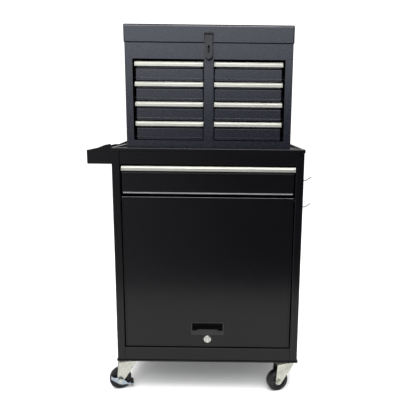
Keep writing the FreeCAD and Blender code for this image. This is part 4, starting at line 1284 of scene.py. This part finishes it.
        away = Vector((-math.cos(self.pad_angle), 0.0, -math.sin(self.pad_angle)))

        def ridge(middle: Vector, normal: Vector) -> bool:
            """Every other band of the outer face."""
            band = int((middle.y - start) / (end - start) * self.pad_bands)
            return normal.dot(away) > 0.8 and band % 2 == 1

        return work.inset(ridge, [(0.35 * MM, -0.5 * MM)]).soften(0.25 * MM)

    def build(self) -> None:
        """Model the wheel and the brake once, set them on every fork, then press the forks and plates."""
        tyre, hub, rocker, pad = self.tyre(), self.hub(), self.rocker(), self.pad()
        for corner in self.corners:
            place = self.place(corner)
            wheel = f"caster_wheel_{corner}"
            tyre.twin(f"{wheel}_tyre", place).finish(Finish.RUBBER, wheel, wheel)
            hub.twin(f"{wheel}_hub", place).finish(Finish.HUB, wheel, wheel)
            self.fork(corner)
            if corner in self.braked:
                node = f"brake_lever_{corner}"
                rocker.twin(f"{node}_rocker", place).finish(Finish.BLUE_ZINC, node, node)
                pad.twin(f"{node}_pad", place).finish(Finish.RUBBER, node, node)
        for pattern in (tyre, hub, rocker, pad):
            pattern.bin()
        plates = Work.copy_of(self.frame["nodes"]["caster_plates"], "caster_top_plates")
        plates.soften(0.5 * MM).finish(Finish.ZINC, "cabinet", "caster_plates")


@dataclass
class Door:
    """The large door: a pressed face with a rolled edge and a groove, its pull and its lock."""

    frame: dict
    sheet: float = 1.0 * MM
    edge: float = 1.2 * MM
    rim: float = 4.2 * MM
    head_drop: float = 6.5 * MM
    groove: float = 1.0 * MM
    groove_depth: float = 0.5 * MM
    mouth: Flat = (87.0 * MM, 23.0 * MM)
    mouth_drop: float = 3.4 * MM
    mouth_corner: float = 1.5 * MM
    clear: float = 0.2 * MM
    cup_depth: float = 14.0 * MM
    cup_corner: float = 3.0 * MM
    bezel: float = 1.0 * MM
    bezel_corner: float = 3.0 * MM
    tongue: Flat = (62.0 * MM, 3.7 * MM)
    tongue_taper: float = 2.6 * MM
    tongue_metal: float = 1.5 * MM
    tongue_root: float = 0.5 * MM
    barrel: float = 8.0 * MM
    barrel_length: float = 19.0 * MM
    thread_pitch: float = 1.5 * MM
    thread_depth: float = 0.4 * MM
    plug: float = 5.05 * MM
    collar: float = 11.0 * MM
    collar_rise: float = 2.5 * MM
    pivot: float = 2.55 * MM

    @property
    def middle(self) -> Vector:
        """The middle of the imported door."""
        low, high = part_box("door_panel")
        return (low + high) / 2

    @property
    def lock(self) -> Vector:
        """Where the lock turns."""
        return joint_place(self.frame, "lock_turn")

    def tube(self, centre: Vector, direction: Axis, radius: float, reach: float) -> Work:
        """A round cutter."""
        profile = [(0.0, -reach), (radius, -reach), (radius, reach), (0.0, reach)]
        return Work.lathe("cutter", profile, tuple(centre), direction, 40)

    def panel(self) -> None:
        """Face with returns on four sides, holed for the pull, the lock and the pivots."""
        low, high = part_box("door_panel")
        high.z -= self.head_drop
        work = Work.block("door_pressing", low, high).remove(facing(0.0, 1.0, 0.0))
        slope = (self.groove * 0.35, self.groove_depth)
        rings = [(self.rim, 0.0), (slope[0], -slope[1]), (self.groove, 0.0), slope]
        work.inset(facing(0.0, -1.0, 0.0), rings)

        def outer(middle: Vector, direction: Vector) -> bool:
            """An edge round the face, or one that runs back from its corner."""
            sides = (middle.x - low.x, middle.x - high.x, middle.z - low.z, middle.z - high.z)
            return abs(direction.y) > ALONG or (middle.y < low.y + SAME and min(map(abs, sides)) < SAME)

        work.round(outer, self.edge, 4).thicken(self.sheet)
        wall = self.sheet + self.clear
        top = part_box("door_pull")[1].z - self.mouth_drop
        half = self.mouth[0] / 2 + wall
        mouth_low = (self.middle.x - half, low.y - self.sheet, top - self.mouth[1] - wall)
        mouth_high = (self.middle.x + half, low.y + 3 * self.sheet, top + wall)
        work.drill(
            Work.block("cutter", mouth_low, mouth_high),
            self.tube(self.lock, Axis.Y, self.barrel + 0.05 * MM, 30.0 * MM),
            self.tube(joint_place(self.frame, "door_swing"), Axis.X, self.pivot, 400.0 * MM),
        )
        piece = work.finish(Finish.CABINET_PAINT, "door", "door_panel")
        # The top edge of the face gets a painted highlight line
        accent(piece, Finish.EDGE_HIGHLIGHT, lambda middle, normal: (
            middle.z > high.z - self.edge and middle.y < low.y + self.edge and 0.2 < normal.z < 0.98))

    def pull(self) -> None:
        """Bezel round a deep cup, with a raised tongue along the bottom of the mouth."""
        low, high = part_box("door_pull")
        x = self.middle.x
        seat = low.y + self.bezel
        top = high.z - self.mouth_drop
        bottom = top - self.mouth[1]
        half = self.mouth[0] / 2
        plate = Work.block("door_pull_bezel", low, (high.x, seat, high.z))
        plate.round(along(Axis.Y), self.bezel_corner, 5)
        front, back = low.y - self.bezel, seat + self.bezel
        cutter = Work.block("cutter", (x - half, front, bottom), (x + half, back, top))
        plate.drill(cutter.round(along(Axis.Y), self.mouth_corner, 3)).soften(0.3 * MM)
        cup = Work.block("cup", (x - half, seat, bottom), (x + half, seat + self.cup_depth, top))
        cup.remove(facing(0.0, -1.0, 0.0)).round(along(Axis.Y), self.mouth_corner, 3)
        floor = seat + self.cup_depth - 0.1 * MM
        cup.round(lambda middle, direction: abs(direction.y) < 0.5 and middle.y > floor, self.cup_corner, 4)
        wide, rise = self.tongue[0] / 2, self.tongue[1]
        narrow = wide - self.tongue_taper
        foot = bottom - self.tongue_root
        head = bottom + rise
        outline = [(x - wide, foot), (x + wide, foot), (x + narrow, head), (x - narrow, head)]
        tongue = Work.extrusion("tongue", Axis.Y, low.y, self.tongue_metal, outline).soften(0.5 * MM, 3)
        plate.add(tongue).finish(Finish.PULL, "door", "door_pull")
        # The cup's near-black finish is painted shade in the recess
        cup.thicken(self.sheet, 1.0).finish(Finish.CUP_SHADE, "door")

    def locks(self) -> None:
        """Chromed collar on a threaded barrel with its nut, and the plug with its keyway and cam."""
        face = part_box("lock_housing")[0].y
        rise = self.collar_rise
        profile = [
            (self.plug, 1.1 * MM), (self.plug + 0.9 * MM, 0.25 * MM), (self.plug + 1.5 * MM, 0.45 * MM),
            (self.plug + 2.1 * MM, 0.15 * MM), (self.collar - 1.9 * MM, 0.0),
            (self.collar - 0.8 * MM, 0.35 * MM), (self.collar - 0.15 * MM, 1.1 * MM),
            (self.collar, rise - 0.05 * MM),
        ]
        place = rise + 0.1 * MM
        root = self.barrel - self.thread_depth
        while place < rise + self.barrel_length - self.thread_pitch:
            profile += [(self.barrel, place), (root, place + self.thread_pitch / 2)]
            place += self.thread_pitch
        profile += [(self.barrel, rise + self.barrel_length), (self.plug, rise + self.barrel_length)]
        centre = (self.lock.x, face, self.lock.z)
        collar = Work.lathe("lock_collar", profile, centre, Axis.Y, 48, ring=True)
        shells = Work.copy_of(self.frame["nodes"]["lock_housing"], "lock_nut").loose()
        shells.sort(key=lambda work: work.obj.dimensions.y)
        nut = shells[0].soften(0.5 * MM)
        for shell in shells[1:]:
            shell.bin()
        collar.add(nut).finish(Finish.CHROME, "door", "lock_housing")
        plug = Work.copy_of(self.frame["nodes"]["lock_cylinder"], "lock_plug")
        plug.soften(0.25 * MM).finish(Finish.CHROME, "lock_cylinder", "lock_cylinder")

    def build(self) -> None:
        """Build the panel, the pull and the lock."""
        self.panel()
        self.pull()
        self.locks()


@dataclass
class Hasp:
    """Painted steel hasp on the front of the lid and chest."""

    frame: dict
    edge: float = 0.3 * MM
    rivet: float = 2.3 * MM
    rivet_rise: float = 0.9 * MM
    rivet_seat: float = 0.05 * MM
    rivet_height: float = 3.6 * MM
    plate: float = 1.2 * MM

    def rivets(self) -> list[Work]:
        """Two domed rivet heads on the bracket's plate.

        Returns:
            The works.
        """
        low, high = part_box("hasp_bracket")
        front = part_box("lid_shell")[0].y - self.plate
        profile = [(0.0, -self.rivet_rise), (self.rivet * 0.5, -self.rivet_rise * 0.86),
                   (self.rivet * 0.85, -self.rivet_rise * 0.5), (self.rivet, self.rivet_seat),
                   (0.0, self.rivet_seat)]
        height = low.z + self.rivet_height
        places = [(low.x + share * (high.x - low.x), front, height) for share in (0.2, 0.8)]
        return [Work.lathe("rivet", profile, place, Axis.Y, 20) for place in places]

    def build(self) -> None:
        """Build the bracket with its pin, the strap and the staple."""
        rows = (
            ("hasp_bracket", "plate", "lid", 2), ("hasp_strap", "plate", "hasp_strap", 3),
            ("hasp_staple", "ear", "chest", 3),
        )
        for node, form, body, segments in rows:
            work = Work.copy_of(self.frame["nodes"][node], f"{node}_{form}").soften(self.edge, segments)
            if node == "hasp_bracket":
                work.add(*self.rivets())
            work.finish(Finish.HARDWARE_PAINT, body, node)


@dataclass
class Lid:
    """The lid with its rounded upper edge: a painted highlight line where the edge starts, painted shade on
    the rounding above it.
    """

    frame: dict
    corner: float = 4.1 * MM
    line: float = 1.8 * MM

    def build(self) -> None:
        """Build the lid."""
        low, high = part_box("lid_shell")
        edge = high.z - self.corner
        lid = Work.copy_of(self.frame["nodes"]["lid_shell"], "lid_pressing")
        with lid.edit(whole=True):
            bpy.ops.mesh.bisect(plane_co=(0.0, 0.0, edge - self.line), plane_no=(0.0, 0.0, 1.0))
        piece = lid.finish(Finish.CHEST_PAINT, "lid", "lid_shell")
        start, end, front = edge - self.line, high.z - 0.7 * self.corner, low.y + 0.1 * MM
        # Painted highlight line where the rounded edge starts, and painted shade on the rounding above it
        accent(piece, Finish.EDGE_HIGHLIGHT, lambda middle, normal: (
            start < middle.z < end and normal.z < 0.3 and middle.y < front))
        accent(piece, Finish.PAINTED_SHADE, lambda middle, normal: middle.z > edge and 0.3 <= normal.z < 0.97)


@dataclass
class LidShadeStrip:
    """Thin dark strip round the chest, under the lid's lower edge: painted shade standing in for the shadow
    gap there.
    """

    rise: float = 0.5 * MM
    height: float = 2.3 * MM
    gap: float = 0.1 * MM
    clear: float = 0.02 * MM
    corner: float = 1.5 * MM

    def build(self) -> None:
        """Build the strip round the front and both sides."""
        low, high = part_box("chest_wrap")
        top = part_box("lid_shell")[0].z - self.gap
        strip = Work.block("lid_shade_strip", (low.x - self.rise, low.y - self.rise, top - self.height),
                           (high.x + self.rise, high.y, top))
        strip.remove(lambda middle, normal: abs(normal.z) > ALONG or normal.y > ALONG)
        strip.round(lambda middle, direction: abs(direction.z) > ALONG and middle.y < 0.0, self.corner, 3)
        strip.thicken(self.rise - self.clear).finish(Finish.PAINTED_SHADE, "chest")


@dataclass
class SideHooks:
    """Two coated wire hooks on plates, on the right side."""

    wire: float = 1.9 * MM
    bend: float = 5.7 * MM
    bend_steps: int = 8
    dip: float = 3.0 * MM
    rise: float = 11.0 * MM
    reach: float = 41.3 * MM
    plate: float = 2.0 * MM
    plate_size: Flat = (14.0 * MM, 28.0 * MM)
    knee: float = 0.58

    def hook(self, root: Vector) -> Work:
        """One hook: a plate with rounded corners and a bent wire with a rounded tip.

        Args:
            root: middle of the plate on the cabinet's wall.

        Returns:
            The work.
        """
        knee_reach = self.plate + (self.reach - self.plate) * self.knee
        knee = Vector((root.x + knee_reach, root.y, root.z - self.dip))
        start = Vector((root.x + self.plate / 2, root.y, root.z))
        tip = Vector((root.x + self.reach, root.y, root.z - self.dip + self.rise))
        first = (knee - start).normalized()
        turn = first.angle((tip - knee).normalized())
        back = self.bend * math.tan(turn / 2)
        bend_start = knee - first * back
        centre = bend_start + Vector((-first.z, 0.0, first.x)) * self.bend
        arm = bend_start - centre
        steps = self.bend_steps
        arc = [centre + Matrix.Rotation(-turn * step / steps, 3, "Y") @ arm for step in range(steps + 1)]
        work = Work.wire("hook_wire", [start, *arc, tip], self.wire)
        work.round(lambda middle, direction: (middle - tip).length < 1.05 * self.wire, self.wire * 0.6, 4)
        wide, tall = self.plate_size[0] / 2, self.plate_size[1] / 2
        plate = Work.block("hook_plate", (root.x, root.y - wide, root.z - tall),
                           (root.x + self.plate, root.y + wide, root.z + tall))
        return work.add(plate.round(along(Axis.X), self.plate_size[0] / 4, 5).soften(0.4 * MM))

    def build(self) -> None:
        """Model one hook and copy it to the second place."""
        low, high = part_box("side_hooks")
        tall = self.plate_size[1] / 2
        middle = (low.y + high.y) / 2
        lower, upper = Vector((low.x, middle, low.z + tall)), Vector((low.x, middle, high.z - tall))
        pattern = self.hook(upper)
        for name, place in (("upper_hook", upper), ("lower_hook", lower)):
            pattern.twin(name, Matrix.Translation(place - upper)).finish(Finish.HOOK, "cabinet", "side_hooks")
        pattern.bin()


@dataclass
class Fasteners:
    """Caster bolts and nuts, and pan-head screws with a cross recess."""

    frame: dict
    head: float = 4.0 * MM
    rise: float = 2.0 * MM
    shank: float = 2.0 * MM
    shank_length: float = 6.0 * MM
    recess: float = 4.4 * MM
    slot: float = 1.0 * MM
    depth: float = 1.2 * MM

    def screw(self) -> Work:
        """One screw, standing on the XY plane with its head up.

        Returns:
            The work.
        """
        end = -self.shank_length
        profile = [
            (0.0, end), (self.shank * 0.7, end), (self.shank, end + 0.6 * MM), (self.shank, 0.0),
            (self.head, 0.0), (self.head, self.rise * 0.35), (self.head * 0.93, self.rise * 0.66),
            (self.head * 0.72, self.rise * 0.9), (self.head * 0.4, self.rise), (0.0, self.rise),
        ]
        work = Work.lathe("screw", profile, (0.0, 0.0, 0.0), Axis.Z, 24)
        long, thin, top = self.recess / 2, self.slot / 2, self.rise
        return work.drill(*(
            Work.block("cutter", (-x, -y, top - self.depth), (x, y, top + self.depth))
            for x, y in ((long, thin), (thin, long))
        ))

    def build(self) -> None:
        """Soften the bolts and nuts, and set a recessed screw wherever a plain one was."""
        pattern = self.screw()
        shells = Work.copy_of(self.frame["nodes"]["cabinet_fasteners"], "fastener").loose()
        bolts, screws = [], []
        base_low, base_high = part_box("cabinet_base")
        middle = (base_low + base_high) / 2
        length = self.rise + self.shank_length
        for shell in shells:
            spans = list(zip(*shell.obj.bound_box))
            low, high = Vector(map(min, spans)), Vector(map(max, spans))
            size, centre = high - low, (low + high) / 2
            if abs(size.x - length) < 0.1 * MM:
                left = centre.x < middle.x
                turn = Matrix.Rotation(math.radians(-90.0 if left else 90.0), 4, "Y")
                seat = Vector((low.x + self.rise if left else high.x - self.rise, centre.y, centre.z))
            elif abs(size.y - length) < 0.1 * MM:
                turn = Matrix.Rotation(math.radians(-90.0), 4, "X")
                seat = Vector((centre.x, high.y - self.rise, centre.z))
            else:
                bolts.append(shell.soften(0.5 * MM))
                continue
            screws.append(pattern.twin("screw", Matrix.Translation(seat) @ turn))
            shell.bin()
        for name, works in (("caster_bolts", bolts), ("body_screws", screws)):
            works[0].add(*works[1:]).obj.name = name
            works[0].finish(Finish.ZINC, "cabinet", "cabinet_fasteners")
        pattern.bin()


class Room(Graph):
    """The world's nodes."""

    def fade(self, source: bpy.types.NodeSocket, start: Flat, end: Flat) -> bpy.types.NodeSocket:
        """Smooth change of a value between two limits."""
        return self.ramp(source, start, end, interpolation_type="SMOOTHSTEP")

    def blend(self, share: bpy.types.NodeSocket, first: object, second: object) -> bpy.types.NodeSocket:
        """Mix of two values or sockets by a share."""
        return self.node("ShaderNodeMix", {"Factor": share, "A": first, "B": second}).outputs["Result"]


@dataclass
class Studio:
    """Pale floor, soft lights, white surroundings and the camera."""

    lens: float = 41.44
    eye: Point = (0.07531, -1.40129, 0.7952)
    pitch: float = 9.88
    roll: float = 0.67
    shift: float = -0.0764
    floor_y: Flat = (-1.0, 3.6)
    room: float = 0.95
    ceiling: float = 0.15
    backdrop: float = 1.3
    dark_left: float = 0.85
    dark_right: float = 0.08

    def camera(self) -> None:
        """Set the camera where the photograph was taken from."""
        data = bpy.data.cameras.new("camera")
        data.lens = self.lens
        data.sensor_width = 36.0
        data.shift_x = self.shift
        data.clip_start = 0.05
        camera = bpy.data.objects.new("camera", data)
        bpy.context.scene.collection.objects.link(camera)
        tilt = Matrix.Rotation(math.radians(90.0 - self.pitch), 4, "X")
        roll = Matrix.Rotation(math.radians(self.roll), 4, "Z")
        camera.matrix_world = Matrix.Translation(self.eye) @ tilt @ roll
        bpy.context.scene.camera = camera

    def area(self, name: str, place: Point, target: Point, size: Flat, colour: Point, glow: float,
             spread: float = 180.0, mirrored: bool = True) -> None:
        """Add a soft rectangular light.

        Args:
            name: the light's name.
            place: where it is.
            target: what it points at.
            size: width and height.
            colour: its colour.
            glow: brightness of its face, 1 being white.
            spread: beam angle in degrees.
            mirrored: whether gloss shows it.
        """
        data = bpy.data.lights.new(name, "AREA")
        data.shape = "RECTANGLE"
        data.size, data.size_y = size
        data.energy = glow * math.pi * size[0] * size[1]
        data.spread = math.radians(spread)
        data.color = colour
        light = bpy.data.objects.new(name, data)
        bpy.context.scene.collection.objects.link(light)
        light.visible_glossy = mirrored
        direction = Vector(target) - Vector(place)
        turn = direction.to_track_quat("-Z", "Y").to_matrix().to_4x4()
        light.matrix_world = Matrix.Translation(place) @ turn

    def lights(self) -> None:
        """Overhead light, a cool softbox in front of the chest, and two keys above the camera."""
        white = (1.0, 1.0, 1.0)
        self.area("overhead", (0.0, 1.6, 3.4), (0.0, 1.6, 0.0), (7.0, 5.0), white, 0.8, 100.0, False)
        self.area("front_high", (-0.55, -4.0, 2.05), (-0.55, 0.0, 2.05), (4.0, 1.7), (0.93, 0.95, 1.0), 2.72)
        self.area("key_low", (-0.3, -2.5, 2.7), (0.0, -0.2, 0.2), (2.6, 1.3), white, 1.5, 100.0)
        self.area("key_high", (0.0, -1.4, 3.2), (0.0, -0.3, 0.0), (3.0, 1.2), white, 3.1, 100.0)

    def world(self) -> None:
        """White room with a dark end low in front, which the black paint mirrors; white to the eye."""
        world = bpy.data.worlds.new("surroundings")
        bpy.context.scene.world = world
        world.use_nodes = True
        room = Room(world.node_tree)
        place = room.node("ShaderNodeTexCoord").outputs["Generated"]
        sides = room.node("ShaderNodeSeparateXYZ", {"Vector": place})
        rays = room.node("ShaderNodeLightPath").outputs
        dark_end = room.fade(sides.outputs["X"], (-0.35, 0.08), (self.dark_left, self.dark_right))
        behind = room.fade(sides.outputs["Y"], (-0.45, 0.0), UNIT)
        above = room.fade(sides.outputs["Z"], (0.35, 0.6), UNIT)
        ceiling = room.blend(rays["Is Glossy Ray"], self.room, self.ceiling)
        walls = room.blend(above, room.blend(behind, dark_end, self.room), ceiling)
        background = world.node_tree.nodes["Background"].inputs
        room.feed(background["Strength"], room.blend(rays["Is Camera Ray"], walls, self.backdrop))
        background["Color"].default_value = (1.0, 1.0, 1.0, 1.0)

    def floor(self) -> None:
        """Pale floor."""
        front, back = self.floor_y
        bpy.ops.mesh.primitive_plane_add(size=back - front, location=(0.0, (front + back) / 2, 0.0))
        settle()
        floor = bpy.context.object
        floor.name = "floor"
        shader = Shader("pale_floor")
        grain = shader.group("powder_grain", Fine_Scale=300.0, Slow_Scale=2.0, Fine_Share=0.2)
        shader.colours(grain.outputs["Blotch"], (0.86, 0.86, 0.855), (0.88, 0.88, 0.875))
        shader.set(Roughness=0.6)
        floor.data.materials.append(shader.material)

    def build(self) -> None:
        """Make all of it."""
        bpy.context.scene.view_settings.view_transform = "Standard"
        self.floor()
        self.lights()
        self.world()
        self.camera()
        LOG.info("studio: camera at %s", self.eye)


def main() -> None:
    """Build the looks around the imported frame."""
    logging.basicConfig(level=logging.INFO, format="%(message)s")
    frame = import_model()
    dress_nodes(frame["nodes"])
    parts = (
        DrawerPulls(), DrawerFronts(), Casters(frame), Door(frame), Hasp(frame), Lid(frame), LidShadeStrip(),
        SideHooks(), Fasteners(frame), Studio(),
    )
    for part in parts:
        part.build()


if __name__ == "__main__":
    main()
